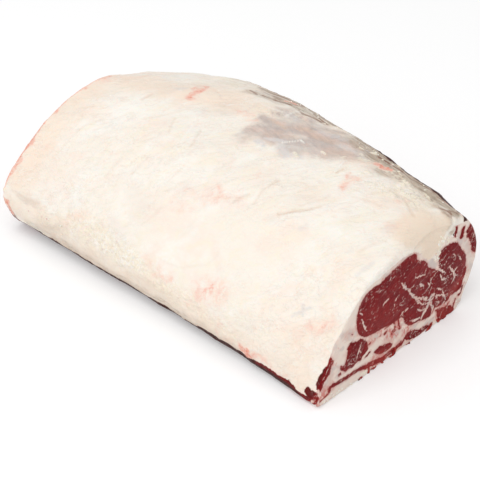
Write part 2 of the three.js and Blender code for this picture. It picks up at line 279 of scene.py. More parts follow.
# Thin beige film.
WASHES = [
    ((-62, -86), (-33, -103), 14, 0.5), ((-70, -110), (-65, -98), 12, 0.4),
    ((-177, -55), (-152, -53), 8, 0.4), ((-164, -31), (-140, -20), 8, 0.35),
    ((-123, -82), (-90, -89), 14, 0.2), ((138, 16), (168, 20), 8, 0.5),
    ((-167, -139), (-151, -142), 5, 0.45), ((-151, -142), (-136, -140), 6, 0.6),
    ((-136, -164), (-103, -151), 6, 0.9), ((-105, -159), (-57, -159), 5, 0.6),
    ((-113, -4), (-107, 22), 6, 0.6), ((-157, -23), (-133, -21), 7, 0.3),
    ((-112, 39), (-99, 59), 7, 0.5),
]
# Yellower fat towards the edges.
WARM_FAT = [
    ((-177, 4), (-60, 39), 26, 1), ((-80, 35), (-22, 39), 18, 0.8),
    ((-170, -118), (-168, -50), 24, 0.9), ((-163, -152), (-106, -152), 14, 0.8),
    ((-110, -167), (59, -159), 14, 0.9), ((70, -160), (161, -161), 14, 0.8),
    ((126, -143), (171, -130), 24, 0.6), ((128, 18), (152, 28), 18, 0.55),
    ((66, -10), (110, -5), 14, 0.3), ((-173, -45), (-166, -1), 20, 0.8),
]
# Fat with few strands and wrinkles.
CALM = [
    ((15, -116), (36, -113), 36, 1), ((66, -86), (92, -93), 22, 0.8), ((96, -69), (115, -66), 16, 0.6),
    ((-56, -103), (-44, -104), 16, 0.6), ((78, -122), (95, -118), 14, 0.5),
    ((114, -37), (133, -35), 14, 0.5), ((159, 19), (168, 20), 9, 0.8),
]
# Fat beside the cut end that the knife has smoothed.
SMOOTH_CUT = [
    ((161, 2), (163, 34), 10, 0.9), ((170, -4), (170, 40), 9, 1), ((174, 20), (175, 58), 8, 1),
    ((178, 18), (178, 52), 6, 1), ((168, 40), (172, 58), 7, 0.7),
]
# Soft lumpy fat, over the lip and in the chine ridge.
NUBBLY = [
    ((-96, -141), (-58, -136), 12, 0.9), ((-74, -141), (-36, -141), 13, 1),
    ((-43, -140), (-15, -143), 11, 1), ((-20, -143), (13, -149), 10, 0.9),
    ((13, -150), (53, -150), 9, 0.7), ((53, -152), (95, -158), 8, 0.5),
    ((-130, -152), (-96, -150), 9, 0.5), ((75, -136), (116, -143), 10, 0.35),
    ((-25, 42), (0, 64), 8, 0.5), ((83, 58), (115, 68), 9, 0.9), ((115, 30), (138, 36), 9, 0.9),
    ((128, 45), (153, 41), 9, 0.9), ((118, 60), (150, 62), 9, 0.7), ((162, -79), (170, -84), 6, 0.3),
]
# How much each kind of mark wavers, as a share of the shift, and its strokes.
SKIN_MARKS = {
    "blush": (1.6, BLUSHES),
    "silver": (1.5, SILVERSKIN),
    "bluish": (0.5, BLUE_VEINS),
    "dull_and_shade": (1, DULL_AND_SHADED_PATCHES),
    "wash": (1.5, WASHES),
    "calm": (1, CALM),
    "smooth": (1, SMOOTH_CUT),
    "warm": (1.5, WARM_FAT),
    "crease": (0.5, CREASES),
    "line": (1 / 3, DARK_LINES_AND_LIP_SHADOW),
    "thread": (1 / 3, THREADS),
    "nub": (0.5, NUBS),
    "nubbly": (1, NUBBLY),
}
# Bare lean on the skin: start, end, half width. The rows along the lip's edge are drawn wide, so that
# the painted shadow line under the lip lies on them.
SKIN_LEAN = [
    ((-180, -162), (-176, -176), 5), ((-176, -178), (-150, -180), 8), ((-150, -181), (-20, -181), 9.5),
    ((-20, -181), (60, -181), 9.5), ((60, -181), (100, -181), 12), ((100, -181), (180, -180), 9.5),
    ((118, -181), (150, -181), 13.5), ((164, -179), (180, -178), 7),
]

# -------- the cut faces, as (across, up)

# Where the trim sets the cut face back, its marks are carried up the slope by this much
# across and up for each millimetre.
SLANT = (-1.03, 0.98)
# The edge of the cut face.
CUT_EDGE = [
    (-110, 6), (-100, 20), (-94, 30), (-86, 44), (-83, 52), (-76, 59), (-68, 67), (-60, 75), (-53, 81),
    (-45, 85), (-35, 87), (-19, 90), (-5, 92), (7, 91), (14, 88), (25, 76), (33, 72), (39, 70),
    (40, 77), (45, 81), (54, 82), (61, 79), (62, 88), (68, 88), (77, 86), (88, 86), (112, 76),
    (116, 20), (90, -14), (-100, -14),
]
# Outlines of the lean in the cut face.
CUT_LEAN = {
    "eye and cap": [
        (12, 87), (15, 80), (25, 74), (30, 66), (39, 59), (44, 57), (42, 66), (43, 72), (47, 75),
        (55, 75), (63, 73), (68, 69), (72, 63), (80, 52), (82, 42), (83, 34), (80, 27), (79, 21),
        (74, 19), (65, 19), (62, 16), (55, 15), (44, 17), (40, 13), (32, 13), (24, 16), (19, 17),
        (12, 18), (5, 24), (1, 32), (-5, 33), (-11, 33), (-17, 34), (-24, 35), (-31, 36), (-37, 37),
        (-43, 38), (-50, 43), (-54, 49), (-56, 56), (-56, 64), (-55, 70), (-52, 76), (-48, 80),
        (-41, 82), (-35, 82), (-28, 83), (-22, 85), (-16, 86), (-9, 88), (-2, 89), (5, 89),
    ],
    "hanging nub": [
        (48, 12), (52, 13), (58, 12), (66, 9), (71, 3), (68, 0), (61, 1), (56, 0), (52, 1), (48, 6),
    ],
    "chine strip": [
        (77, 76), (80, 79), (84, 81), (88, 73), (93, 62), (94, 54), (93, 48), (88, 53), (85, 61),
        (81, 68),
    ],
    "lip": [
        (-49, 40), (-54, 41), (-61, 43), (-65, 41), (-65, 33), (-67, 29), (-68, 25), (-72, 27),
        (-71, 22), (-66, 18), (-63, 18), (-57, 17), (-53, 19), (-48, 18), (-46, 21), (-41, 23),
        (-40, 27), (-42, 33), (-45, 37),
    ],
    "lump": [(-32, 16), (-27, 19), (-18, 17), (-9, 13), (-11, 9), (-18, 9), (-26, 11)],
    "foot": [(6, 9), (12, 13), (19, 10), (26, 7), (34, 6), (39, 3), (31, 2), (24, 1), (15, 3), (9, 5)],
    "corner": [
        (-113, 29), (-109, 27), (-105, 23), (-100, 18), (-98, 14), (-100, 9), (-104, 10), (-109, 18),
        (-116, 25),
    ],
    "edge": [
        (-86, 43), (-82, 39), (-81, 35), (-83, 33), (-84, 28), (-87, 25), (-91, 22), (-93, 17),
        (-96, 16), (-97, 19), (-101, 21), (-101, 26), (-98, 30), (-95, 34), (-91, 37), (-88, 38),
    ],
}
# Thin lean in the cut face: its line and half width.
CUT_STREAKS = [
    ([(-94, 6), (-86, 8)], 1.3),
    ([(-84, 10), (-83, 13), (-76, 12), (-61, 11), (-54, 11), (-47, 10), (-40, 7)], 2),
    ([(-39, 8), (-27, 5), (-19, 3)], 2.6), ([(-15, 5), (-10, 5), (3, 6)], 2.3),
    ([(64.5, 86), (64, 79)], 1.7), ([(73, 81), (72, 74)], 2.3), ([(80, 74), (80, 70)], 1.6),
    ([(45, 15), (58, 11.5), (64, 13)], 0.8), ([(72, 12), (70, 6), (69, 2)], 1.2),
    ([(80, 21), (79, 15), (76, 14)], 1.3), ([(-20, 28.5), (-19, 29)], 1.9),
    ([(-10, 23.5), (-9, 24.5)], 2.3), ([(-26, 29), (-25, 29)], 0.9), ([(-61, 50.5), (-60, 50)], 0.7),
    ([(-4, 32), (-1, 22)], 1), ([(-9.5, 34), (-7.5, 27)], 1.1), ([(-14, 34), (-20, 33)], 1.2),
    ([(-43, 18), (-37, 20)], 0.8), ([(-39, 29), (-38, 29)], 0.9), ([(-73, 19), (-72, 19)], 1.3),
    ([(-104, 4), (-99, 10)], 3),
]
# Threads of fat in the lean: their line and half width.
CUT_VEINS = [
    ([(-2, 28), (0, 36), (5, 38), (7, 38.5)], 1.2),
    ([(13, 63.5), (18, 62.5), (24.5, 61), (26.5, 64)], 0.8), ([(13, 63.5), (13.5, 68)], 0.6),
    ([(-4, 68.5), (0, 62), (6.5, 56), (8, 52), (15.5, 44), (20, 37.5), (26, 31.5)], 1.1),
    ([(26, 31.5), (30, 31.5)], 1.2), ([(6.5, 56.5), (11.5, 56.5), (12.5, 58)], 0.5),
    ([(0, 62), (0.5, 65.5)], 0.5),
    ([(17, 42), (27.5, 36.5), (34.5, 32.5), (38.5, 33.5), (42.5, 32), (45.5, 27.5)], 1.5),
    ([(28.5, 30), (35, 28.5), (39, 29.5)], 1),
    ([(40, 31), (35, 27), (32, 24), (28.5, 20), (25, 14)], 1.6),
    ([(51.5, 32.5), (55, 25.5), (59, 18)], 0.8), ([(59, 18), (54, 16), (44, 17)], 0.7),
    ([(44, 37.5), (51.5, 32.5)], 0.6), ([(55, 24.5), (61, 23.5)], 0.5),
    ([(58, 52), (63, 45), (66.5, 38.5), (66, 34), (63.5, 32)], 1), ([(69.5, 46), (66, 43)], 0.7),
    ([(66.5, 39.5), (72, 36.5)], 0.6), ([(49, 57), (53, 59), (55, 61)], 0.5),
    ([(59, 52), (63, 53)], 0.4), ([(20.5, 54), (26, 49)], 1), ([(24.5, 41), (29.5, 42)], 0.5),
    ([(36, 40.5), (37, 43)], 0.5), ([(41, 54), (36, 51.5), (35, 47)], 0.6),
    ([(53.5, 36), (56, 39)], 0.5), ([(36, 63), (40, 60), (44, 56), (54, 48)], 1),
    ([(11.5, 23.5), (19.5, 20), (25, 19)], 1), ([(60.4, 42), (61, 42)], 0.9),
    ([(73.5, 26.7), (74, 26.7)], 0.9), ([(-50, 58), (-47, 50.5), (-43, 44)], 0.9),
    ([(-53, 67), (-50, 63)], 0.6), ([(-25, 59), (-19.5, 61)], 1.1),
    ([(-11, 48.5), (-10.5, 54), (-7, 58)], 0.6), ([(-19, 78), (-18, 81.5)], 0.45),
    ([(7, 81.5), (8, 84)], 0.4), ([(-49, 35.5), (-51, 32), (-52, 26), (-54, 23)], 0.7),
    ([(-52, 29.5), (-48, 26)], 0.5), ([(-62, 23), (-57, 21)], 0.6),
    ([(-92, 27), (-87, 33), (-84, 37)], 0.35), ([(34.5, 32.5), (38, 26), (41, 20), (40, 14)], 1.3),
    ([(47, 50), (50, 44), (56, 41)], 0.7), ([(62, 62), (66, 58), (64, 53)], 0.6),
    ([(70, 56), (74, 50)], 0.6), ([(30, 52), (33, 46), (30, 41)], 0.6),
    ([(44, 30), (52, 27), (57, 22)], 0.9), ([(20, 30), (25, 26), (30, 25)], 0.8),
    ([(52, 3), (56, 10)], 0.5), ([(60, 3), (62, 10)], 0.5), ([(12, 4), (16, 10)], 0.4),
    ([(86, 62), (89, 70)], 0.6),
]
# Soft strokes on the cut face, as on the skin: darker lean, bright thin lean, gristle, whiter
# fat and nubs of fat.
CUT_DEEP = [
    ((54, 68), (58, 46), 14, 0.9), ((42, 50), (46, 44), 5, 1), ((-54, 38), (-56, 26), 9, 1),
    ((22, 60), (32, 48), 8, 0.5), ((12, 6), (36, 4), 5, 0.9), ((0, 84), (-46, 76), 8, 0.4),
    ((80, 74), (92, 56), 7, 0.7),
]
CUT_RAW = [
    ((-106, 4), (-92, 10), 9, 1), ((76, 30), (64, 22), 5, 0.8), ((-40, 8), (-18, 3), 5, 1),
    ((50, 8), (66, 4), 6, 0.7), ((-12, 6), (4, 6), 5, 0.5), ((-30, 33), (-2, 31), 3, 0.8),
    ((-22, 28), (-6, 24), 6, 1), ((-10, 22), (8, 17), 6, 1), ((-36, 30), (-24, 28), 5, 0.8),
    ((-34, 12), (-10, 8), 4, 0.8), ((-42, 54), (-20, 44), 15, 0.35), ((44, 16), (62, 12), 4, 0.8),
    ((-82, 36), (-86, 42), 4, 0.7),
]
CUT_GRISTLE = [
    ((30, 68), (38, 62), 4, 1), ((34, 70), (33, 64), 3, 1), ((62, 76), (70, 74), 5, 0.6),
    ((72, 70), (82, 58), 4, 0.45), ((84, 52), (88, 36), 4, 0.4),
]
CUT_PALE = [
    ((-66, 62), (-56, 80), 5, 0.8), ((-56, 82), (-30, 88), 3.5, 0.8), ((-58, 76), (-60, 60), 5, 0.7),
    ((-80, 44), (-70, 30), 5, 0.6), ((-8, 12), (2, 16), 3, 0.5), ((-46, 30), (-38, 12), 4, 0.6),
    ((-40, 20), (-20, 28), 5, 0.6), ((-72, 14), (-46, 14), 3, 0.7), ((-92, 4), (-50, 6), 3, 0.7),
    ((66, 84), (84, 84), 4, 0.8), ((90, 70), (98, 56), 4, 0.5), ((14, 8), (34, 12), 3, 0.5),
]
CUT_NUBS = [
    ((41, 68), (41, 77), 3.4, 1), ((41, 77), (47, 80), 3.4, 1), ((47, 80), (57, 78), 3.4, 1),
    ((57, 78), (64, 75), 2.2, 0.8), ((-76, 2), (-44, 2), 5, 0.9),
]
# The same for the far face.
FAR_LEAN = {
    "eye": [
        (-24, 58), (-12, 76), (8, 87), (30, 87), (52, 80), (70, 70), (78, 57), (70, 44), (50, 36),
        (26, 34), (2, 38), (-16, 45),
    ],
    "cap": [
        (-66, 62), (-50, 77), (-28, 90), (0, 98), (22, 99), (38, 93), (24, 92), (6, 92), (-14, 83),
        (-28, 68), (-38, 56), (-54, 52),
    ],
    "chine": [(83, 58), (90, 66), (98, 58), (100, 44), (93, 32), (84, 36), (81, 48)],
    "rib side": [
        (-60, 20), (-40, 26), (-10, 27), (20, 25), (48, 25), (72, 22), (84, 12), (60, 6), (20, 5),
        (-30, 6), (-56, 11),
    ],
    "lip": [(-104, 40), (-92, 56), (-74, 52), (-60, 40), (-66, 26), (-84, 20), (-100, 24)],
}
FAR_STREAKS = [
    ([(-98, 10), (-80, 12), (-68, 14)], 2.6), ([(-40, 38), (-30, 36), (-22, 37)], 1.6),
]
FAR_VEINS = [
    ([(-10, 60), (2, 66), (12, 74)], 0.8), ([(24, 44), (30, 54), (28, 64)], 0.8),
    ([(48, 48), (54, 58), (60, 62)], 0.8), ([(40, 76), (46, 70), (50, 62)], 0.6),
    ([(-44, 62), (-30, 74), (-12, 88), (8, 95)], 0.8), ([(-92, 34), (-82, 38), (-70, 36)], 0.8),
    ([(-30, 16), (0, 15), (34, 14), (60, 13)], 1), ([(90, 42), (91, 50), (89, 58)], 0.6),
]
FAR_DEEP = [
    ((-50, 66), (20, 95), 8, 0.8), ((20, 15), (60, 13), 10, 0.7), ((-90, 40), (-72, 38), 10, 0.7),
]
FAR_RAW = [((-50, 14), (-20, 16), 7, 0.6), ((60, 50), (72, 58), 8, 0.4)]
CUT_MARKS = {"deep": CUT_DEEP, "raw": CUT_RAW, "gristle": CUT_GRISTLE, "pale": CUT_PALE,
             "nubs": CUT_NUBS}
FAR_MARKS = {"deep": FAR_DEEP, "raw": FAR_RAW}


# -------- the form, in arrays

def rise(value, low, high):
    """Smooth step from 0 at low to 1 at high."""
    share = np.clip((value - low) / (high - low), 0, 1)
    return share * share * (3 - 2 * share)


def lerp(first, second, share):
    return first + (second - first) * share


def through_stations(stations, t):
    """Cubic through four places at -1, -1/3, 1/3 and 1; stations is (..., 4, 2)."""
    left = (t + 1 / 3) * (t - 1 / 3)
    right = (t + 1) * (t - 1)
    shares = np.stack([left * (1 - t) * 9 / 16, right * (t - 1 / 3) * 27 / 16,
                       -right * (t + 1 / 3) * 27 / 16, left * (t + 1) * 9 / 16], -1)
    return (stations * shares[..., None]).sum(-2)


CENTRIPETAL = 0.25  # power of a squared distance that keeps the curve from looping


def section_point(t, turn):
    """Point (across, up) on the closed curve round the roast, for arrays of t and turn."""
    landmarks = np.array(list(SECTION.values()), float)
    place = (turn % 1) * len(landmarks)
    first = np.floor(place).astype(int)
    share = (place - first)[..., None]
    before, here, after, beyond = (
        through_stations(landmarks[(first + step) % len(landmarks)], t) for step in (-1, 0, 1, 2)
    )

    def apart(a, b):
        return np.maximum(((a - b) ** 2).sum(-1, keepdims=True) ** CENTRIPETAL, 1e-4)

    gaps = apart(before, here), apart(here, after), apart(after, beyond)
    slope_here = ((here - before) / gaps[0] - (after - before) / (gaps[0] + gaps[1])
                  + (after - here) / gaps[1]) * gaps[1]
    slope_after = ((after - here) / gaps[1] - (beyond - here) / (gaps[1] + gaps[2])
                   + (beyond - after) / gaps[2]) * gaps[1]
    return (here + slope_here * share
            + (3 * (after - here) - 2 * slope_here - slope_after) * share ** 2
            + (2 * (here - after) + slope_here + slope_after) * share ** 3)


def plain_skin(t, turn):
    """Points on the plain skin and their outward directions, as (..., 3) arrays."""
    held = np.clip(t, -1, 1)
    across_up = section_point(held, turn)
    nudge = 0.002
    along_curve = section_point(held, turn + nudge) - section_point(held, turn - nudge)
    outward = np.stack([np.zeros_like(t), along_curve[..., 1], -along_curve[..., 0]], -1)
    outward /= np.linalg.norm(outward, axis=-1, keepdims=True)
    points = np.concatenate([(t * LENGTH / 2)[..., None], across_up], -1)
    return points, outward


def skin_relief(points):
    """Height of the swells, hollows and long waves over the plain skin."""
    x, y, z = np.moveaxis(points, -1, 0)
    height = np.zeros_like(x)
    for along, across, up, reach, swell in SKIN_SWELLS:
        height += swell * np.exp(-((x - along) ** 2 + (y - across) ** 2 + (z - up) ** 2) / reach ** 2)
    for size, along, across, phase in SKIN_WAVES:
        lengthwise = np.sin(x / along * 2 * np.pi + phase)
        height += size * lengthwise * np.sin((y - z) / across * 2 * np.pi + 2 * phase)
    return height * rise(z, *WAVY_HEIGHT)


def rib_bed(points):
    """How deep a rib's bed lies at a place on the underside."""
    x, y, z = np.moveaxis(points, -1, 0)
    last = (RIB_COUNT - 1) / 2
    nearest = np.clip(np.round(x / RIB_PITCH), -last, last)
    off = np.abs(x - nearest * RIB_PITCH) / RIB_HALF_WIDTH
    return RIB_DEPTH * (1 - rise(off, RIB_FLOOR, 1)) * rise(y, *RIB_REACH) * (1 - rise(z, *RIB_HEIGHT))


def skin(t, turn):
    """Points on the skin with the solid's own relief, and their outward directions."""
    points, outward = plain_skin(t, turn)
    points = points + outward * skin_relief(points)[..., None]
    points[..., 2] = np.maximum(0, points[..., 2])
    points[..., 2] += rib_bed(points)
    return points, outward


def trim_share(across):
    """How much a place on the cut face belongs to the sloped trim, from 0 to 1."""
    return rise(across, *TRIM_LIP_SIDE) * (1 - rise(across, *TRIM_CHINE_SIDE))


def trim_depth(across, up):
    """How far the sloped trim takes the cut face back at a place on it."""
    run, climb = np.subtract(TRIM_TO, TRIM_FROM) / math.dist(TRIM_TO, TRIM_FROM)
    past = (across - TRIM_FROM[0]) * -climb + (up - TRIM_FROM[1]) * run
    return TRIM_SLOPE * np.maximum(0, past) * trim_share(across)


def seam_depth(bulges, across, up):
    """How far the fat seams between the muscles lie below a cut face."""
    fill = np.zeros_like(across)
    for middle, height, half_wide, half_high, degrees in bulges:
        turn = math.radians(degrees)
        y, z = across - middle, up - height
        wide = (y * math.cos(turn) + z * math.sin(turn)) / half_wide
        high = (z * math.cos(turn) - y * math.sin(turn)) / half_high
        fill = np.maximum(fill, 1 - (wide ** 2 + high ** 2) ** 2)
    return SEAM_DEPTH * (1 - fill)


GIRTH_STEPS = 1441


def girth_of(turn):
    """How far a turn lies round the middle section from the crest, towards the chine side."""
    fine = np.linspace(CREST - 0.5, CREST + 0.5, GIRTH_STEPS)
    curve, _ = plain_skin(np.zeros_like(fine), fine)
    walked = np.concatenate([[0], np.cumsum(np.linalg.norm(np.diff(curve, axis=0), axis=1))])
    walked -= np.interp(CREST, fine, walked)
    return -np.interp((turn - CREST + 0.5) % 1 + CREST - 0.5, fine, walked)


# -------- noise and distances, in arrays

LATTICE = 48  # the noise repeats after so many lumps
LUMP_GAIN = 1.6  # brings its extremes to about -1 and 1


def lumps(points, size, seed, stretch=(1, 1, 1)):
    """Smooth noise from about -1 to 1 with lumps of that size, stretched along the axes."""
    slopes = np.random.default_rng(seed).normal(size=(LATTICE, LATTICE, LATTICE, 3))
    slopes /= np.linalg.norm(slopes, axis=-1, keepdims=True)
    cells = points / (size * np.array(stretch, float))
    base = np.floor(cells).astype(int)
    away = cells - base
    fade = away ** 3 * (away * (away * 6 - 15) + 10)
    total = np.zeros(points.shape[:-1])
    for corner in itertools.product((0, 1), repeat=3):
        index = (base + corner) % LATTICE
        slope = slopes[index[..., 0], index[..., 1], index[..., 2]]
        weight = np.where(corner, fade, 1 - fade).prod(-1)
        total += weight * (slope * (away - corner)).sum(-1)
    return total * LUMP_GAIN


def wander(points, size, reach, seeds):
    """A wavering shift for each point, along as many directions as there are seeds."""
    return np.stack([lumps(points, size, seed) for seed in seeds], -1) * reach


def segment_distance(places, start, end):
    """Distance of (..., 2) places from a straight line between two points."""
    start, end = np.array(start, float), np.array(end, float)
    run = end - start
    share = np.clip((places - start) @ run / max(run @ run, 1e-9), 0, 1)
    return np.linalg.norm(places - start - share[..., None] * run, axis=-1)


STROKE_CORE = 0.25  # a stroke is full out to this share of its half width
STROKE_FADE = 1.6  # and has faded out at this one


def stroke_mask(places, strokes):
    """Soft strokes at (..., 2) places, from 0 to their strength."""
    mask = np.zeros(places.shape[:-1])
    for start, end, half_width, strength in strokes:
        off = segment_distance(places, start, end)
        faded = rise(off, STROKE_CORE * half_width, STROKE_FADE * half_width)
        mask = np.maximum(mask, strength * (1 - faded))
    return mask


def smooth_line(points, closed, steps=6):
    """Points on a smooth curve through a few points."""
    points = np.array(points, float)
    if closed:
        padded = np.concatenate([points[-1:], points, points[:2]])
    else:
        padded = np.concatenate([2 * points[:1] - points[1:2], points, 2 * points[-1:] - points[-2:-1]])
    line = []
    for a, b, c, d in zip(padded, padded[1:], padded[2:], padded[3:]):
        for share in np.arange(steps) / steps:
            line.append(0.5 * (2 * b + (c - a) * share + (2 * a - 5 * b + 4 * c - d) * share ** 2
                               + (3 * b - a - 3 * c + d) * share ** 3))
    if not closed:
        line.append(points[-1])
    return np.array(line)


FAR_OFF = 12  # distances are only worked out this near a line


def line_distance(places, line, closed):
    """Distance of (n, 2) places from a line of points, up to FAR_OFF, and which lie within it."""
    distance = np.full(len(places), float(FAR_OFF))
    inside = np.zeros(len(places), bool)
    near = ((places > line.min(0) - FAR_OFF) & (places < line.max(0) + FAR_OFF)).all(-1)
    some = places[near]
    ends = np.roll(line, -1, 0) if closed else line[1:]
    found = np.full(len(some), float(FAR_OFF))
    within = np.zeros(len(some), bool)
    for start, end in zip(line, ends):
        found = np.minimum(found, segment_distance(some, start, end))
        if closed and start[1] != end[1]:
            crosses = (start[1] > some[:, 1]) != (end[1] > some[:, 1])
            at = start[0] + (some[:, 1] - start[1]) * (end[0] - start[0]) / (end[1] - start[1])
            within ^= crosses & (some[:, 0] < at)
    distance[near] = found
    inside[near] = within
    return distance, inside


def drawn_distance(places, outlines, lines, where):
    """Signed distance of (..., 2) places to outlines and thick lines: above 0 inside one."""
    some = places[where]
    reach = np.full(len(some), float(-FAR_OFF))
    for outline in outlines:
        distance, inside = line_distance(some, smooth_line(outline, True), True)
        reach = np.maximum(reach, np.where(inside, distance, -distance))
    for points, half_width in lines:
        distance, _ = line_distance(some, smooth_line(points, False), False)
        reach = np.maximum(reach, half_width - distance)
    whole = np.full(places.shape[:-1], float(-FAR_OFF))
    whole[where] = reach
    return whole


THREAD_ROOM = 5  # threads are only worked out this near their line
THREAD_TIP = 0.3  # a thread's width at its ends, as a share of its middle's


def thread_distance(places, threads, where):
    """Signed distance of (..., 2) places to threads that thin out towards their ends."""
    some = places[where]
    reach = np.full(len(some), float(-FAR_OFF))
    for points, half_width in threads:
        line = smooth_line(points, False)
        near = ((some > line.min(0) - THREAD_ROOM) & (some < line.max(0) + THREAD_ROOM)).all(-1)
        found = reach[near]
        for step, (start, end) in enumerate(zip(line, line[1:])):
            full = math.sin(math.pi * (step + 0.5) / (len(line) - 1))
            width = half_width * lerp(THREAD_TIP, 1, math.sqrt(full))
            found = np.maximum(found, width - segment_distance(some[near], start, end))
        reach[near] = found
    whole = np.full(places.shape[:-1], float(-FAR_OFF))
    whole[where] = reach
    return whole


# -------- the whole surface as one grid

def turns():
    """Turns round the roast: the cap's columns and then the rib side's, without a repeat."""
    start, end = CAP_TURNS
    cap = np.linspace(start, end, CAP_COLUMNS)
    rib = np.linspace(end, start + 1, RIB_COLUMNS)
    return np.concatenate([cap, rib[1:-1]])


RIM_PASSES = 4


def rim_rings(side, turn):
    """Where the skin ends at each turn, and the rings that round it over into the cut face."""
    edge, _ = skin(np.full_like(turn, side), turn)
    radius, sweep = np.full_like(turn, FAR_RIM), np.full_like(turn, math.pi / 2)
    if side > 0:
        trimmed = trim_share(edge[:, 1]) * rise(edge[:, 2], *TRIM_HEIGHT)
        low = 1 - rise(edge[:, 2], *LOW_RIM_HEIGHT)
        radius = lerp(lerp(CUT_RIM, TRIMMED_RIM, trimmed), LOW_RIM, low)
        sweep = math.pi / 2 - math.atan(TRIM_SLOPE) * trimmed
    set_back = np.zeros_like(turn)
    for _ in range(RIM_PASSES):  # the trim's depth and the rim's end depend on each other
        start = side * (1 - (set_back + radius * np.sin(sweep)) * 2 / LENGTH)
        skin_end, outward = skin(start, turn)
        inner = skin_end - outward * (radius * (1 - np.cos(sweep)))[:, None]
        set_back = trim_depth(inner[:, 1], inner[:, 2]) if side > 0 else set_back
    angle = np.linspace(0, 1, RIM_RINGS + 1)[:, None] * sweep
    rings = skin_end - outward * (radius * (1 - np.cos(angle)))[..., None]
    rings[..., 0] += side * radius * np.sin(angle)
    directions = outward * np.cos(angle)[..., None]
    directions[..., 0] = side * np.sin(angle)
    return start, rings, directions


def face_rings(side, edge):
    """Rings of a cut face, from its rim in to its middle."""
    count = CUT_RINGS if side > 0 else FAR_RINGS
    share = np.linspace(1, 0, count + 1)[1:-1, None]
    rings = np.repeat(edge[None], count - 1, 0)
    rings[..., 1:] = FACE_MIDDLE + (edge[:, 1:] - FACE_MIDDLE) * share[..., None]
    set_back = trim_depth(rings[..., 1], rings[..., 2]) if side > 0 else 0
    seams = seam_depth(CUT_BULGES if side > 0 else FAR_BULGES, rings[..., 1], rings[..., 2])
    level = side * (LENGTH / 2 - set_back - seams)
    rings[..., 0] = lerp(edge[:, 0], level, 1 - rise(share, 1 - FACE_FADE, 1))
    directions = np.zeros_like(rings)
    directions[..., 0] = side
    return rings, directions


# Rows of the grid: where the far rim, the skin and the near rim begin, how many there are in all,
# and the first and last of the skins between the end pieces.
FAR_RIM_ROW = FAR_RINGS - 1
FIRST_SKIN_ROW = FAR_RIM_ROW + RIM_RINGS + 1
NEAR_RIM_ROW = FIRST_SKIN_ROW + SKIN_ROWS
ALL_ROWS = NEAR_RIM_ROW + RIM_RINGS + CUT_RINGS
BODY_ROWS = (FIRST_SKIN_ROW + COLLAR_ROWS - 1, NEAR_RIM_ROW - COLLAR_ROWS)


class Surface:
    """The roast's whole surface: its dressed points, their normals and what each shows."""

    def __init__(self):
        self.turn = turns()
        far_start, far_rim, far_out = rim_rings(-1, self.turn)
        near_start, near_rim, near_out = rim_rings(1, self.turn)
        far_face, far_face_out = face_rings(-1, far_rim[-1])
        near_face, near_face_out = face_rings(1, near_rim[-1])
        t = lerp(far_start, near_start, np.linspace(0, 1, SKIN_ROWS + 2)[1:-1, None])
        body, body_out = skin(t, np.broadcast_to(self.turn, t.shape))
        self.plain = np.concatenate([far_face[::-1], far_rim[::-1], body, near_rim, near_face])
        self.outward = np.concatenate(
            [far_face_out[::-1], far_out[::-1], body_out, near_out, near_face_out])
        row = np.arange(ALL_ROWS)
        ones = np.ones(len(self.turn))
        self.far_share = np.clip((FIRST_SKIN_ROW - 1 - row) / RIM_RINGS, 0, 1)[:, None] * ones
        self.near_share = np.clip((row - NEAR_RIM_ROW) / RIM_RINGS, 0, 1)[:, None] * ones
        self.facing = near_out[0, :, 1:] @ np.array(SLANT)
        self.rim_depth = LENGTH / 2 - near_rim[-1, :, 0]
        self.girth = np.broadcast_to(girth_of(self.turn), self.plain.shape[:-1])
        self.marks = surface_marks(self)
        self.points = self.dressed()
        self.normals = grid_normals(self.points)

    def dressed(self):
        """The surface with its fine relief, kept inside the solid's box."""
        up = self.plain[..., 2]
        skin_height = skin_detail(self.plain, self.marks) * rise(up, *RELIEF_HEIGHT)
        height = lerp(skin_height, face_detail(self.plain, self.marks), self.marks["cut"])
        height -= ragged(self.plain) * (1 - rise(self.near_share, *RAG_ROUND))
        height -= INSET * rise(up, *INSET_HEIGHT)
        points = self.plain + self.outward * height[..., None]
        points[..., 0] = np.clip(points[..., 0], -LENGTH / 2 + EDGE_ROOM, LENGTH / 2 - EDGE_ROOM)
        points[..., 2] = np.maximum(points[..., 2], 0)
        return points


def grid_normals(points):
    """Outward normals of a grid that is closed round its columns."""
    down = np.gradient(points, axis=0)
    wide = np.roll(points, -1, 1) - np.roll(points, 1, 1)
    normals = np.cross(wide, down)
    normals /= np.maximum(np.linalg.norm(normals, axis=-1, keepdims=True), 1e-9)
    middle = points.reshape(-1, 3).mean(0)
    outwards = (normals * (points - middle)).sum() > 0
    return normals if outwards else -normals


@functools.cache
def whole_surface():
    return Surface()


# -------- what the surface shows

FACE_DRAWN = 34  # marks of the cut face reach this far back along the roast
INSIDE_CUT = 40  # enough to push a signed distance out of reach

# Shifts that make the marks waver: size of the lumps, reach and seeds.
BROAD_WANDER = (11, 3, (21, 22))
FINE_WANDER = (3.5, 1.1, (23, 24))
VEIN_WANDER = (3.4, 1.1, (63, 64))
LEAN_WANDER = 0.35  # how much of the broad shift the bare lean takes

# How far round the far rim the cut fat and the lean begin.
FAR_CUT_FROM = (0.6, 1)
FAR_LEAN_FROM = (0.3, 0.9)

# Where the marks of the cut end keep to its rim: how the rim faces, how soft the cut edge is,
# and how far behind the rim the cut fat and the lean fade out.
FACING_SLANT = (-0.25, 0.15)
CUT_SOFT = 0.7
CUT_BEHIND = (4, 9)
LEAN_BEHIND = (12, 24)

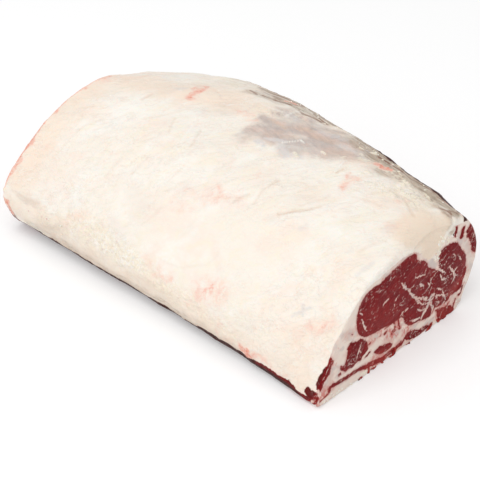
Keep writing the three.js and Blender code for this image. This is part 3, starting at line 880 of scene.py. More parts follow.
# The bare chine side: where it starts round the roast, at places along it, and where it ends,
# how softly its mark sets in and ends, its share of film, and how far down smears of fat begin.
CHINE_ALONG = (-180, -145, -100, -70, -40, -20, 0, 18, 28, 40, 70, 110, 150, 170, 182)
CHINE_TOP = (86, 88, 91, 92, 93, 95, 94, 93, 98, 93, 91, 90.5, 90, 91, 92)
CHINE_FOOT = 192
CHINE_BELOW = (5, 12)
CHINE_SOFT = 6
CHINE_FILM = 0.4
SMEARS_BELOW = (4, 14)

# The underside: where bare lean can lie, how far across its strips reach and how far over the
# rib beds beside them, and where the thin skin of the rib side covers them.
UNDER_HEIGHT = 12
UNDER_ACROSS = (-80, 100)
FINGER_ACROSS = (-66, 84)
FINGER_SPREAD = 1.5
FILM_HEIGHT = (4, 14)
FILM_LIP_SIDE = (-80, -62)
FILM_CHINE_SIDE = (84, 100)


def surface_marks(surface):
    """What each place shows, as masks and signed distances."""
    points = surface.plain
    x = points[..., 0]
    broad = wander(points, *BROAD_WANDER)
    drift = broad + wander(points, *FINE_WANDER)
    places = np.stack([x, surface.girth], -1)
    cut, lean, face = cut_end_marks(surface)
    far_cut = rise(surface.far_share, *FAR_CUT_FROM)
    far = x < -LENGTH / 2 + FACE_DRAWN
    across_up = points[..., 1:]
    far_lean = drawn_distance(across_up, FAR_LEAN.values(), FAR_STREAKS, far)
    lean = np.maximum(lean, far_lean - INSIDE_CUT * (1 - rise(surface.far_share, *FAR_LEAN_FROM)))
    face["vein"] = np.maximum(face["vein"], thread_distance(across_up, FAR_VEINS, far & (far_cut > 0)))
    for name, strokes in FAR_MARKS.items():
        face[name] = np.maximum(face[name], stroke_mask(across_up, strokes) * far_cut)
    cut = np.maximum(cut, far_cut)
    marks = {name: stroke_mask(places + share * drift, strokes) * (1 - cut)
             for name, (share, strokes) in SKIN_MARKS.items()}
    marks["chine"] = chine_share(x, surface.girth) * (1 - cut)
    marks["film"] = np.maximum(rib_film(points) * (1 - cut), CHINE_FILM * marks["chine"])
    bare = bare_lean(points, surface.girth, broad * LEAN_WANDER)
    lean = np.maximum(lean, bare - INSIDE_CUT * cut)
    return {**marks, **face, "lean": np.clip(lean, -FAR_OFF, FAR_OFF), "cut": cut}


def cut_end_marks(surface):
    """The cut end's cut share, its lean and its other marks, carried back over its rim."""
    points = surface.plain
    depth = LENGTH / 2 - points[..., 0]
    own = np.maximum(rise(surface.facing, *FACING_SLANT), surface.near_share >= 1)
    depth = lerp(np.minimum(depth, surface.rim_depth), depth, own)
    places = points[..., 1:] + np.array(SLANT) * depth[..., None]
    behind = LENGTH / 2 - surface.rim_depth - points[..., 0]
    drawn = behind < FACE_DRAWN
    rough = lumps(points, 3.4, 61) + 0.6 * lumps(points, 1.6, 62)
    cut = rise(drawn_distance(places, [CUT_EDGE], [], drawn) + rough, -CUT_SOFT, CUT_SOFT)
    cut = cut * (1 - rise(behind, *CUT_BEHIND))
    lean = drawn_distance(places, CUT_LEAN.values(), CUT_STREAKS, drawn)
    lean = lean - INSIDE_CUT * rise(behind, *LEAN_BEHIND)
    veins = thread_distance(places + wander(points, *VEIN_WANDER), CUT_VEINS, drawn & (cut > 0))
    masks = {name: stroke_mask(places, strokes) * drawn for name, strokes in CUT_MARKS.items()}
    return cut, lean, {"vein": veins, **masks}


def bare_lean(points, girth, drift):
    """Signed distance to the lean that lies bare on the skin."""
    x, y, z = np.moveaxis(points, -1, 0)
    places = np.stack([x, girth], -1) + drift
    reach = np.full_like(x, -FAR_OFF)
    for start, end, half_width in SKIN_LEAN:
        reach = np.maximum(reach, half_width - segment_distance(places, start, end))
    reach = np.maximum(reach, chine_lean(points, girth))
    under = (z < UNDER_HEIGHT) & (y > UNDER_ACROSS[0]) & (y < UNDER_ACROSS[1])
    return np.where(under, np.maximum(reach, finger_meat(points)), reach)


def chine_lean(points, girth):
    """The chine side, where the backbone was cut away, with smears of fat left on it."""
    top = np.interp(points[..., 0], CHINE_ALONG, CHINE_TOP) + 1.6 * lumps(points, 13, 31)
    foot = CHINE_FOOT + 6 * lumps(points, 26, 33)
    smears = 9 * (0.3 - lumps(points, 17, 34, (3.4, 1, 1))) + 3.4 * lumps(points, 5, 35, (3, 1, 1))
    smears = lerp(3, smears, rise(girth - top, *SMEARS_BELOW))
    return np.minimum(np.minimum(girth - top, foot - girth), smears)


def finger_meat(points):
    """The strips of lean between the rib beds."""
    x, y, _ = np.moveaxis(points, -1, 0)
    middle = (np.floor(x / RIB_PITCH) + 0.5) * RIB_PITCH
    half_width = RIB_PITCH / 2 - RIB_HALF_WIDTH + FINGER_SPREAD
    finger = half_width - np.abs(x - middle) + 3.5 * lumps(points, 13, 36)
    ends = np.minimum(y - FINGER_ACROSS[0], FINGER_ACROSS[1] - y)
    return np.minimum(finger, ends + 6 * lumps(points, 17, 37))


def chine_share(x, girth):
    """Where the chine side is, from 0 to 1."""
    below_top = rise(girth - np.interp(x, CHINE_ALONG, CHINE_TOP), *CHINE_BELOW)
    return below_top * (1 - rise(girth, CHINE_FOOT - CHINE_SOFT, CHINE_FOOT + CHINE_SOFT))


def rib_film(points):
    """Where the thin skin of the rib side shows, from 0 to 1."""
    _, y, z = np.moveaxis(points, -1, 0)
    (lip_start, lip_end), (chine_start, chine_end) = FILM_LIP_SIDE, FILM_CHINE_SIDE
    across = rise(y, lip_start, lip_end) * (1 - rise(y, chine_start, chine_end))
    return (1 - rise(z, *FILM_HEIGHT)) * across


# -------- relief of the surface itself

STRAND_TURN = 55  # degrees that the strands of the cap lie away from the roast's length
SILVER_TURN = -20  # and the fibres of the silverskin
SKIN_LOWERED = 0.45  # the relief of the skin is set down by this, and that of the cut faces
FACE_LOWERED = 0.6
RELIEF_HEIGHT = (0.2, 5)  # where it fades out towards the floor
INSET = 0.3  # the skin stays this far inside the solid, so that its relief has room
INSET_HEIGHT = (0, 3)
EDGE_ROOM = 0.1
RAG_REACH = (164, 178)  # along the roast, where the bottom edge of the cut end grows ragged
RAG_HEIGHT = (5, 14)
RAG_DEPTH = 3.4
RAG_ROUND = (0.5, 1)  # how far round its rim


def turned(points, degrees):
    """Points turned about the upright axis, so that a stretch of their noise lies that way."""
    angle = math.radians(degrees)
    x, y, z = np.moveaxis(points, -1, 0)
    along = x * math.cos(angle) + y * math.sin(angle)
    return np.stack([along, y * math.cos(angle) - x * math.sin(angle), z], -1)


def crests(noise):
    """Thin crests where a noise passes through 0."""
    return rise(1 - np.abs(noise), 0.86, 1)


def skin_detail(points, marks):
    """Height of the fine relief over the skin."""
    rough = 1 - 0.8 * marks["calm"]
    patchy = rise(lumps(points, 46, 1), -0.3, 0.4) * rough
    bent = turned(points, STRAND_TURN) + wander(points, 19, 3, (13, 14, 15))
    height = 0.42 * lumps(points, 24, 2) + 0.2 * lumps(bent, 9, 3, (2.2, 1, 1))
    height += (0.04 + 0.16 * patchy) * lumps(bent, 3.4, 4, (2.4, 1, 1))
    height += (0.03 + 0.07 * patchy) * lumps(points, 2.2, 5)
    strands = crests(lumps(bent, 11, 6, (2.6, 1, 1)))
    wisps = crests(lumps(bent, 6.5, 16, (2, 1, 1)))
    height += patchy * (0.3 * strands + 0.16 * wisps)
    layers = rise(lumps(bent, 22, 7), 0.05, 0.12) + rise(lumps(points, 19, 8), 0.18, 0.25)
    height += 0.26 * layers * rough
    nubs = rise(lumps(points, 3.6, 9), 0.1, 0.5)
    height += marks["nubbly"] * (0.95 * nubs + 0.4 * lumps(points, 8, 10))
    ridge_strands = lumps(points, 3, 17, (5, 1, 1)) + 0.6 * lumps(points, 7, 18, (3, 1, 1))
    height += 0.35 * marks["dull_and_shade"] * ridge_strands
    height += 0.12 * marks["silver"] * lumps(turned(points, SILVER_TURN), 3.2, 19, (4, 1, 1))
    height += 0.6 * marks["thread"] + 1.1 * marks["nub"] - 0.6 * marks["crease"] - 0.25 * marks["line"]
    lean = rise(marks["lean"], -1, 1.2)
    fibres = 0.45 * lumps(points, 7, 11, (2.4, 1, 1)) + 0.2 * lumps(points, 2.8, 12, (2, 1, 1))
    height -= lean * (0.5 - fibres)
    height *= 1 - 0.7 * marks["smooth"]
    return height - SKIN_LOWERED


def face_detail(points, marks):
    """Height of the fine relief over a cut face."""
    across = points * np.array([0, 1, 1])
    lean = rise(marks["lean"], -0.8, 1.2)
    vein = rise(marks["vein"], -0.8, 0.4)
    height = 0.25 * lumps(across, 9, 51) + 0.12 * lumps(across, 3.4, 52) + 0.06 * lumps(across, 1.8, 53)
    height += lean * (0.3 - 0.25 * vein) + (1 - lean) * 0.25 * lumps(across, 5, 54)
    height += marks["nubs"] * (1.1 * rise(lumps(across, 3.2, 55), -0.1, 0.5) + 0.2)
    return height - FACE_LOWERED


def ragged(points):
    """How far the torn bottom edge of the cut end draws in."""
    x, _, z = np.moveaxis(points, -1, 0)
    torn = 0.35 + 0.5 * lumps(points, 8, 41) + 0.5 * lumps(points, 3.2, 42)
    return RAG_DEPTH * np.clip(torn, 0, 1) * rise(x, *RAG_REACH) * (1 - rise(z, *RAG_HEIGHT))


# -------- meshes

def grid_faces(index):
    """Quads of a grid of point numbers."""
    corners = index[:-1, :-1], index[:-1, 1:], index[1:, 1:], index[1:, :-1]
    return np.stack([corner.ravel() for corner in corners], -1)


def fan_faces(loop, middle):
    """Triangles from a loop of points to a middle one."""
    return np.stack([loop, np.roll(loop, -1), np.full(len(loop), middle)], -1)


def signed_volume(points, faces):
    """Volume within quads or triangles, above 0 where they point outwards."""
    total = 0
    for group in faces:
        a, b = points[group[:, 0]], points[group[:, 1]]
        for third in range(2, group.shape[1]):
            beyond = points[group[:, third]]
            total += np.einsum("ij,ij->i", a, np.cross(b, beyond)).sum() / 6
            b = beyond
    return total


def orient_like(shown, hidden):
    """Hidden faces turned so that each edge they share with the surface runs the other way."""
    edges = set()
    for group in shown:
        for first, second in zip(range(group.shape[1]), np.roll(range(group.shape[1]), -1)):
            edges.update(zip(group[:, first].tolist(), group[:, second].tolist()))
    turned = []
    for group in hidden:
        same = any((a, b) in edges for a, b in group[:, :2].tolist()) or any(
            (a, b) in edges for a, b in group[:, 1:3].tolist())
        turned.append(group[:, ::-1] if same else group)
    return turned


class Shape:
    """Points, faces, marks and map of one piece, cut from the whole surface."""

    def __init__(self, rows, columns, middles, flat_map):
        surface = whole_surface()
        block = np.ix_(rows, columns)
        count = len(rows) * len(columns)
        middles = np.array(middles)
        self.index = np.arange(count).reshape(len(rows), len(columns))
        self.points = np.concatenate([surface.points[block].reshape(-1, 3), middles])
        self.points = self.points - np.array([0, CENTRE_ACROSS, 0])
        self.normals = np.concatenate([surface.normals[block].reshape(-1, 3), np.zeros_like(middles)])
        self.marks = {}
        for name, mark in surface.marks.items():
            plain = mark[block].ravel()
            self.marks[name] = np.concatenate([plain, np.full(len(middles), plain[-1])])
        self.flat_map = np.concatenate([flat_map[block].reshape(-1, 2), np.zeros_like(middles[:, :2])])

    def close(self, shown, hidden):
        """Takes the faces that show and those that close the piece inside the roast."""
        hidden = orient_like(shown, hidden)
        if signed_volume(self.points, shown + hidden) < 0:
            shown = [group[:, ::-1] for group in shown]
            hidden = [group[:, ::-1] for group in hidden]
        self.shown, self.hidden = shown, hidden
        return self


def skin_map():
    """The skin laid flat: along the roast and round it, in shares of its length."""
    surface = whole_surface()
    girth = surface.girth[0]
    whole = 2 * abs(girth_of(np.array([CREST + 0.4999]))[0])
    girth = np.unwrap(girth, period=whole)
    along = (surface.plain[..., 0] + LENGTH / 2) / LENGTH
    return np.stack([along, np.broadcast_to((girth - girth.min()) / LENGTH, along.shape)], -1)


COLLAR_SPREAD = 60  # the collar is this many times its depth wider in a face's map
FACE_MAP_SIZE = 360


def face_map(side):
    """A cut face laid flat, with its rim and collar spread out round it."""
    surface = whole_surface()
    steps = np.linalg.norm(np.diff(surface.plain, axis=0), axis=-1)
    walked = np.concatenate([np.zeros((1, steps.shape[1])), np.cumsum(steps, axis=0)])
    edge_row = NEAR_RIM_ROW + RIM_RINGS if side > 0 else FAR_RIM_ROW
    past = np.maximum(0, side * (walked[edge_row] - walked))
    spread = surface.plain[..., 1:] - FACE_MIDDLE
    edge = spread[edge_row]
    on_face = (surface.near_share if side > 0 else surface.far_share)[..., None] >= 1
    spread = np.where(on_face, spread, edge * (1 + past / COLLAR_SPREAD)[..., None])
    return (spread + FACE_MAP_SIZE / 2) / FACE_MAP_SIZE


def strip_piece(first, last, columns):
    """A stretch of skin between two rows, closed inside the roast between its long edges."""
    rows = np.arange(first, last + 1)
    surface = whole_surface()
    middles = [surface.points[row][columns].mean(0) for row in (first, last)]
    shape = Shape(rows, columns, middles, skin_map())
    index = shape.index
    wall = np.stack([index[1:, 0], index[1:, -1], index[:-1, -1], index[:-1, 0]], -1)
    ends = [fan_faces(index[0], index.size), fan_faces(index[-1], index.size + 1)]
    return shape.close([grid_faces(index)], [wall, *ends])


CONE_DEPTH = 24  # how far inside the roast an end piece is closed


def end_piece(side):
    """One cut face with its rim and a collar of skin, closed by a cone inside the roast."""
    surface = whole_surface()
    if side > 0:
        rows = np.arange(NEAR_RIM_ROW - COLLAR_ROWS, ALL_ROWS)
    else:
        rows = np.arange(FIRST_SKIN_ROW + COLLAR_ROWS - 1, -1, -1)
    columns = np.arange(len(surface.turn))
    centre = surface.points[rows[-1]].mean(0)
    back = surface.points[rows[0]].mean(0) - np.array([side * CONE_DEPTH, 0, 0])
    shape = Shape(rows, columns, [centre, back], face_map(side))
    shape.normals[-2] = (side, 0, 0)
    shape.flat_map[-2] = shape.flat_map[shape.index[-1]].mean(0)
    ring = np.concatenate([shape.index, shape.index[:, :1]], 1)
    face = grid_faces(ring)
    middle = orient_like([face], [fan_faces(shape.index[-1], shape.index.size)])
    return shape.close([face, *middle], [fan_faces(shape.index[0], shape.index.size + 1)])


MAP_ROOM = 0.02  # kept free round the map
HIDDEN_MAP = 0.01  # the hidden faces' share of the map


def fill(items, name, values, kind=np.float32):
    """Gives every item of a mesh its value at once."""
    items.foreach_set(name, np.asarray(values).astype(kind).ravel())


def make_piece(name, shape, material):
    """A closed mesh object with its marks as attributes and its own map."""
    mesh = bpy.data.meshes.new(name)
    groups = shape.shown + shape.hidden
    corners = np.concatenate([group.ravel() for group in groups])
    sizes = np.concatenate([np.full(len(group), group.shape[1]) for group in groups])
    starts = np.concatenate([[0], np.cumsum(sizes)[:-1]])
    mesh.vertices.add(len(shape.points))
    fill(mesh.vertices, "co", shape.points * MM)
    mesh.loops.add(len(corners))
    fill(mesh.loops, "vertex_index", corners, np.int32)
    mesh.polygons.add(len(sizes))
    fill(mesh.polygons, "loop_start", starts, np.int32)
    shown_count = sum(len(group) for group in shape.shown)
    fill(mesh.polygons, "use_smooth", np.arange(len(sizes)) < shown_count, bool)
    mesh.update(calc_edges=True)
    for mark, values in shape.marks.items():
        fill(mesh.attributes.new(mark, "FLOAT", "POINT").data, "value", values)
    shown_corners = sum(group.size for group in shape.shown)
    places = shape.flat_map[corners] * (1 - 1.5 * MAP_ROOM) + MAP_ROOM
    places[shown_corners:] *= HIDDEN_MAP
    fill(mesh.uv_layers.new(name="OFBake").uv, "vector", places)
    if mesh.validate():
        raise RuntimeError(f"{name} had faces that had to be mended")
    normals = shape.normals[corners]
    normals[shown_corners:] = 0  # a zero leaves a hidden face its own normal
    mesh.normals_split_custom_set(normals.tolist())
    mesh.materials.append(material)
    return link_piece(name, mesh)


def link_piece(name, mesh):
    piece = bpy.data.objects.new(name, mesh)
    bpy.context.scene.collection.objects.link(piece)
    return piece


def place_piece(piece):
    """Ties a finished piece to the frame."""
    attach(piece, BODY)
    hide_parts(NODE)


# -------- node trees

# How a material's noises are turned: with the cap's strands, its rosy patches, the chine ridge
# and the lip, the fibres of the silverskin, and the flecks and fibres of the cut faces.
UNTURNED = (0, 0, 0)
STRANDS = (0, 0, math.radians(STRAND_TURN))
PATCHES = (0.3, 0.2, 0.9)
RIDGE = (0, 0, math.radians(-6))
SILVER = (0, 0, math.radians(-12))
FLECKS = (math.radians(24), 0, 0)
ELSEWHERE = (0.5, 0.4, 0)  # a turn that only takes a noise away from another one
# How they are stretched: softly, into strands, and into the long fibres of the ridge.
EVENLY = (1, 1, 1)
SOFTLY = (1.5, 1, 1)
STRANDY = (2.6, 1, 1)
FIBROUS = (6, 1, 1)


class Signal:
    """A socket that takes part in arithmetic, which adds Math nodes to its tree."""

    def __init__(self, wiring, socket):
        self.wiring = wiring
        self.socket = socket

    def math(self, operation, first, second):
        return self.wiring.make("ShaderNodeMath", {"operation": operation}, {0: first, 1: second})

    def __add__(self, other):
        return self.math("ADD", self, other)

    def __radd__(self, other):
        return self.math("ADD", other, self)

    def __sub__(self, other):
        return self.math("SUBTRACT", self, other)

    def __rsub__(self, other):
        return self.math("SUBTRACT", other, self)

    def __mul__(self, other):
        return self.math("MULTIPLY", self, other)

    def __rmul__(self, other):
        return self.math("MULTIPLY", other, self)

    def __abs__(self):
        return self.math("ABSOLUTE", self, 0)

    def __or__(self, other):
        return self.math("MAXIMUM", self, other)

    def rise(self, low, high):
        """Smooth step from 0 at low to 1 at high."""
        settings = {"interpolation_type": "SMOOTHSTEP"}
        return self.wiring.make("ShaderNodeMapRange", settings, {0: self, 1: low, 2: high})


class Wiring:
    """The node tree of a material or of a Geometry Nodes modifier."""

    def __init__(self, tree):
        self.tree = tree
        self.places = {}

    def node(self, kind, settings=None, inputs=None):
        """A new node: its settings first, then the values and links of its sockets."""
        node = self.tree.nodes.new(kind)
        for name, value in (settings or {}).items():
            setattr(node, name, value)
        for key, value in (inputs or {}).items():
            if isinstance(value, Signal):
                self.tree.links.new(value.socket, node.inputs[key])
            else:
                node.inputs[key].default_value = value
        return node

    def signal(self, node, output=0):
        return Signal(self, node.outputs[output])

    def make(self, kind, settings=None, inputs=None, output=0):
        """A new node's output, for what needs no other."""
        return self.signal(self.node(kind, settings, inputs), output)

    def mark(self, name):
        """One of the piece's own attributes."""
        return self.make("ShaderNodeAttribute", {"attribute_name": name}, output="Fac")

    def place(self, stretch=EVENLY, turn=UNTURNED):
        """Object coordinates in millimetres, turned and then stretched, made once for each pair."""
        if (stretch, turn) not in self.places:
            inputs = {"Vector": self.make("ShaderNodeTexCoord", output="Object"), "Rotation": turn,
                      "Scale": [MM * share for share in stretch]}
            mapping = self.make("ShaderNodeMapping", {"vector_type": "TEXTURE"}, inputs)
            self.places[stretch, turn] = mapping
        return self.places[stretch, turn]

    def noise(self, size, detail=2, rough=0.5, twist=0, stretch=EVENLY, turn=UNTURNED):
        """Noise round 0.5 with lumps of that size in millimetres."""
        inputs = {"Vector": self.place(stretch, turn), "Scale": 1 / size, "Detail": detail,
                  "Roughness": rough, "Distortion": twist}
        return self.make("ShaderNodeTexNoise", inputs=inputs)

    def lines(self, noise, middle, inner, outer):
        """Thin lines where a noise passes through a value, soft from inner to outer."""
        return 1 - abs(noise - middle).rise(inner, outer)

    def cells(self, size):
        """Distance to the nearest of scattered points, with cells of that size in millimetres."""
        inputs = {"Vector": self.place(), "Scale": 1 / size}
        return self.make("ShaderNodeTexVoronoi", {"feature": "F1"}, inputs)

    def blend(self, share, first, second):
        """A colour from first at 0 to second at 1."""
        return self.make("ShaderNodeMix", {"data_type": "RGBA"}, {0: share, 6: first, 7: second}, 2)

    def coats(self, colour, *coats):
        """A colour under coats of others, each a share and a colour."""
        for share, coat in coats:
            colour = self.blend(share, colour, rgba(coat))
        return colour


def new_material(name):
    """A new material with an empty node tree, and its wiring."""
    material = bpy.data.materials.new(name)
    material.use_nodes = True
    material.node_tree.nodes.clear()
    return material, Wiring(material.node_tree)


def finish_material(wiring, colour, roughness, height, constants):
    """Ends a material in a Principled shader with a bump of that height in millimetres."""
    bump = wiring.make("ShaderNodeBump", inputs={"Height": height, "Distance": MM})
    inputs = {"Base Color": colour, "Roughness": roughness, "Normal": bump, **constants}
    shader = wiring.make("ShaderNodeBsdfPrincipled", inputs=inputs)
    wiring.node("ShaderNodeOutputMaterial", inputs={"Surface": shader})


def rgba(colour):
    return (*colour, 1)


MOIST = {"Specular IOR Level": 0.05, "Subsurface Weight": 0.08, "Subsurface Radius": (1.0, 0.5, 0.35),
         "Subsurface Scale": 0.0012}


def cap_ground(wiring, looks):
    """Ivory fat in soft patches, rosier, warmer and whiter by turns."""
    broad = wiring.noise(42, 3, 0.55, 0.4, SOFTLY, STRANDS)
    rosy = wiring.noise(30, 4, 0.6, 0.5, (1.6, 1, 1), PATCHES)
    middle = wiring.noise(9, 4, 0.6, 0.5, (2, 1, 1), STRANDS)
    cool = wiring.noise(23, 3)
    warm = wiring.mark("warm") * (0.5 + rosy)
    return wiring.coats(
        rgba(looks.fat),
        (broad.rise(0.36, 0.62), looks.pale_fat),
        (rosy.rise(0.46, 0.7) * 0.75, looks.peach_fat),
        (middle.rise(0.46, 0.7) * 0.55, looks.cream_fat),
        (cool.rise(0.56, 0.74) * 0.2, looks.bluish),
        (warm.rise(0, 1.1) * 0.8, looks.warm_fat),
    )


def cap_curls(wiring):
    """The two noises whose lines are the cap's pale strands and shaded folds."""
    strands = wiring.noise(7, 3, 0.55, 0.6, STRANDY, STRANDS)
    return strands, wiring.noise(9, 4, 0.6, 0.8, STRANDY, STRANDS)


def cap_wisps(wiring, looks, colour):
    """Fine strands and wrinkles over the fat: pale ones, rosy ones and the shade beside them."""
    busy = 1 - wiring.mark("calm") * 0.85
    area = wiring.noise(26, 2).rise(0.38, 0.62) * busy
    strands, folds = cap_curls(wiring)
    pale = wiring.lines(strands, 0.5, 0.004, 0.035) * area
    shade = wiring.lines(folds, 0.47, 0.003, 0.022) * area
    rosy = wiring.noise(10, 4, 0.65, 1, SOFTLY, STRANDS)
    rosy_area = wiring.noise(13, 2).rise(0.46, 0.62) * busy
    rosy = wiring.lines(rosy, 0.52, 0.003, 0.02) * rosy_area
    return wiring.coats(colour, (shade * 0.22, looks.crease), (rosy * 0.4, looks.pink_fat),
                        (pale * 0.55, looks.pale_fat))


def cap_films(wiring, looks, colour):
    """Silverskin, beige washes, the greyish streaky membrane of the ridges with painted shade over it,
    and the dark lines.
    """
    middle = wiring.noise(13, 3)
    wash = wiring.mark("wash") * (0.5 + middle)
    colour = wiring.coats(colour, (wash.rise(0, 1.4), looks.wash))
    fibres = wiring.noise(6, 4, 0.6, 0.5, (4, 1, 1), SILVER)
    tint = wiring.noise(17, 2).rise(0.38, 0.62)
    silver = wiring.coats(rgba(looks.rosy_silver), (tint, looks.silverskin),
                          (fibres.rise(0.42, 0.72) * 0.7, looks.deep_silver))
    cover = (wiring.mark("silver") * (0.5 + middle)).rise(0, 1.05)
    colour = wiring.blend(cover, colour, silver)
    # Greyish membrane that also paints the shade over the turning ridge and along the lip's lower edge.
    dull_and_shade = wiring.mark("dull_and_shade") * (0.5 + wiring.noise(6, 3, stretch=FIBROUS, turn=RIDGE))
    lines = wiring.noise(2.6, 3, 0.6, 0.4, FIBROUS, RIDGE)
    streaky = wiring.mark("dull_and_shade").rise(0.15, 0.9)
    broken = 0.2 + wiring.noise(4, 3, 0.6, 0.4, FIBROUS, RIDGE) * 1.4
    # Dark lines: dried membrane edges, and the painted shadow line under the lip.
    drawn = (wiring.mark("line") * broken).rise(0.25, 1.1)
    return wiring.coats(
        colour,
        (dull_and_shade.rise(0.02, 1.05) * 0.9, looks.dull_and_shaded_fat),
        (streaky * lines.rise(0.5, 0.64) * 0.55, looks.streak),
        (streaky * (1 - lines.rise(0.32, 0.48)) * 0.35, looks.wash),
        (drawn * 0.85, looks.line),
    )


def cap_marks(wiring, looks, colour):
    """Blushes, veins, creases, threads and nubs where they were drawn."""
    fine = wiring.noise(3.2, 3)
    squiggles = wiring.lines(wiring.noise(4.5, 3, 0.6, 0.8), 0.5, 0.006, 0.04)
    nubbly = wiring.mark("nubbly")
    vein = wiring.mark("bluish") * (0.45 + fine)
    cloud = wiring.noise(7, 4, 0.65, 0.6, SOFTLY, STRANDS) * 2.6 - 0.35
    blush = wiring.mark("blush") * cloud
    threads = wiring.noise(4, 4, 0.65, 1.2, STRANDY, STRANDS)
    threads = wiring.lines(threads, 0.5, 0.01, 0.07)
    flush = blush.rise(0.4, 1.4) * (0.3 + threads * 0.5 + fine.rise(0.42, 0.64) * 0.3)
    crease = wiring.mark("crease") * (0.35 + fine)
    return wiring.coats(
        colour,
        (nubbly * fine.rise(0.42, 0.56) * 0.8, looks.cream_fat),
        (nubbly * squiggles * 0.3, looks.crease),
        (wiring.mark("smooth").rise(0, 1) * 0.9, looks.smooth_fat),
        (vein.rise(0, 1.1) * 0.8, looks.vein),
        (blush.rise(0.05, 1) * 0.8, looks.pink_fat),
        (flush, looks.blush),
        (crease * 0.6, looks.crease),
        (wiring.mark("thread") * 0.9, looks.pale_fat),
        (wiring.mark("nub").rise(0.2, 0.9) * 0.8, looks.cream_fat),
    )


def cap_height(wiring):
    """Height of the cap's wrinkles, strands and grain."""
    busy = 1 - wiring.mark("calm") * 0.8
    strands, folds = cap_curls(wiring)
    wrinkles = wiring.lines(strands, 0.5, 0, 0.06)
    folds = wiring.lines(folds, 0.47, 0, 0.05)
    ridge = wiring.noise(2.6, 3, 0.6, 0.4, FIBROUS, RIDGE) * wiring.mark("dull_and_shade")
    grain = wiring.noise(3, 3, stretch=STRANDY, turn=STRANDS)
    grain = 0.25 * grain + 0.1 * wiring.noise(1.3, 2)
    return (grain + wrinkles * 0.15 - folds * 0.12) * busy - ridge * 0.5


def film_colour(wiring, looks, colour):
    """Thin whitish skin of the rib side, over whatever lies under it."""
    film = wiring.mark("film") * wiring.noise(14, 3).rise(0.38, 0.62)
    return wiring.coats(colour, (film * 0.55, looks.film))


def cut_fat(wiring, looks):
    """Colour and height of fat that the knife has cut through."""
    grain = wiring.noise(2.6, 3)
    patches = wiring.noise(12, 2)
    others = wiring.noise(10, 2, turn=ELSEWHERE)
    pink = grain.rise(0.52, 0.68) * wiring.noise(7, 1).rise(0.44, 0.6)
    stain = wiring.noise(3, 3, 0.6, 0.5, (1, 1, 2), FLECKS).rise(0.4, 0.56)
    stain = wiring.mark("raw") * stain
    pale = wiring.mark("nubs") | wiring.mark("pale")
    colour = wiring.coats(
        rgba(looks.cut_fat),
        (patches.rise(0.4, 0.6), looks.pale_cut_fat),
        (others.rise(0.5, 0.64) * 0.7, looks.grey_cut_fat),
        (pink * 0.55 | (stain * 0.95), looks.stained_fat),
        (wiring.mark("gristle").rise(0, 1) * 0.8, looks.grey_cut_fat),
        (pale.rise(0.1, 0.8), looks.pale_cut_fat),
    )
    return colour, 0.3 * grain


def lean_meat(wiring, looks):
    """Colour and height of lean: dark red with a fine grain of fibre bundles."""
    bundles = wiring.cells(1.7)
    grain = wiring.noise(1.1, 2)
    broad = wiring.noise(12, 3)
    fibres = wiring.noise(1.6, 2, stretch=(1, 2.6, 1), turn=FLECKS)
    dark = wiring.noise(2.4, 3, 0.65, stretch=(1, 1.8, 1), turn=FLECKS).rise(0.5, 0.62)
    light = bundles.rise(0.35, 0.8) * 0.15 + grain.rise(0.5, 0.75) * 0.25 + fibres.rise(0.54, 0.68) * 0.4
    colour = wiring.coats(
        rgba(looks.lean),
        (broad.rise(0.38, 0.62) * 0.6, looks.deep_lean),
        (wiring.mark("deep").rise(0, 1) * 0.7, looks.deep_lean),
        (wiring.mark("raw").rise(0, 1) * 0.6, looks.raw_lean),
        (dark * 0.45, looks.deep_lean),
        (light, looks.light_lean),
    )
    return colour, 0.14 * bundles + 0.12 * grain


def marbling(wiring):
    """Share of fat in the lean of a cut face: drawn threads, a fine net and short flecks."""
    rough = (wiring.noise(2.4, 2) - 0.5) * 1.6 + (wiring.noise(1, 1) - 0.5) * 1.4
    threads = (wiring.mark("vein") + rough).rise(-0.3, 0.3) * wiring.noise(5, 1).rise(0.3, 0.42)
    net = wiring.noise(9, 3, 0.6, 0.4, (1, 1.7, 1), FLECKS)
    net_area = wiring.noise(17, 1).rise(0.45, 0.58) * wiring.noise(3, 1).rise(0.45, 0.6)
    net = wiring.lines(net, 0.5, 0.004, 0.02) * net_area
    busy = wiring.noise(8, 1).rise(0.42, 0.6) | (wiring.mark("deep") * 0.7)
    flecks = wiring.noise(1.3, 1, stretch=(1, 2.8, 1), turn=FLECKS).rise(0.62, 0.7) * busy
    return threads * 0.95 | (net * 0.7) | (flecks * 0.5)


def lean_shares(wiring):
    """How much of a place is lean, and how much of its fat the lean beside it has stained."""
    cut, chine = wiring.mark("cut"), wiring.mark("chine")
    edge = (wiring.noise(3.4, 3) - 0.5) * 3.2 + (wiring.noise(1.1, 1) - 0.5) * 1.6
    reach = wiring.mark("lean") + edge + (wiring.noise(7, 2) - 0.5) * 5 * (1 - cut)
    lean = reach.rise(-0.4, 0.5) * (1 - chine * 0.8) + reach.rise(-2.4, 2) * chine * 0.8
    lean = lean * (1 - marbling(wiring) * (0.15 + cut * 0.85))
    stained = reach.rise(-2.2, 0.4) * (1 - reach.rise(0.6, 2) * 0.75)
    return lean, stained * (0.15 + cut * 0.3)


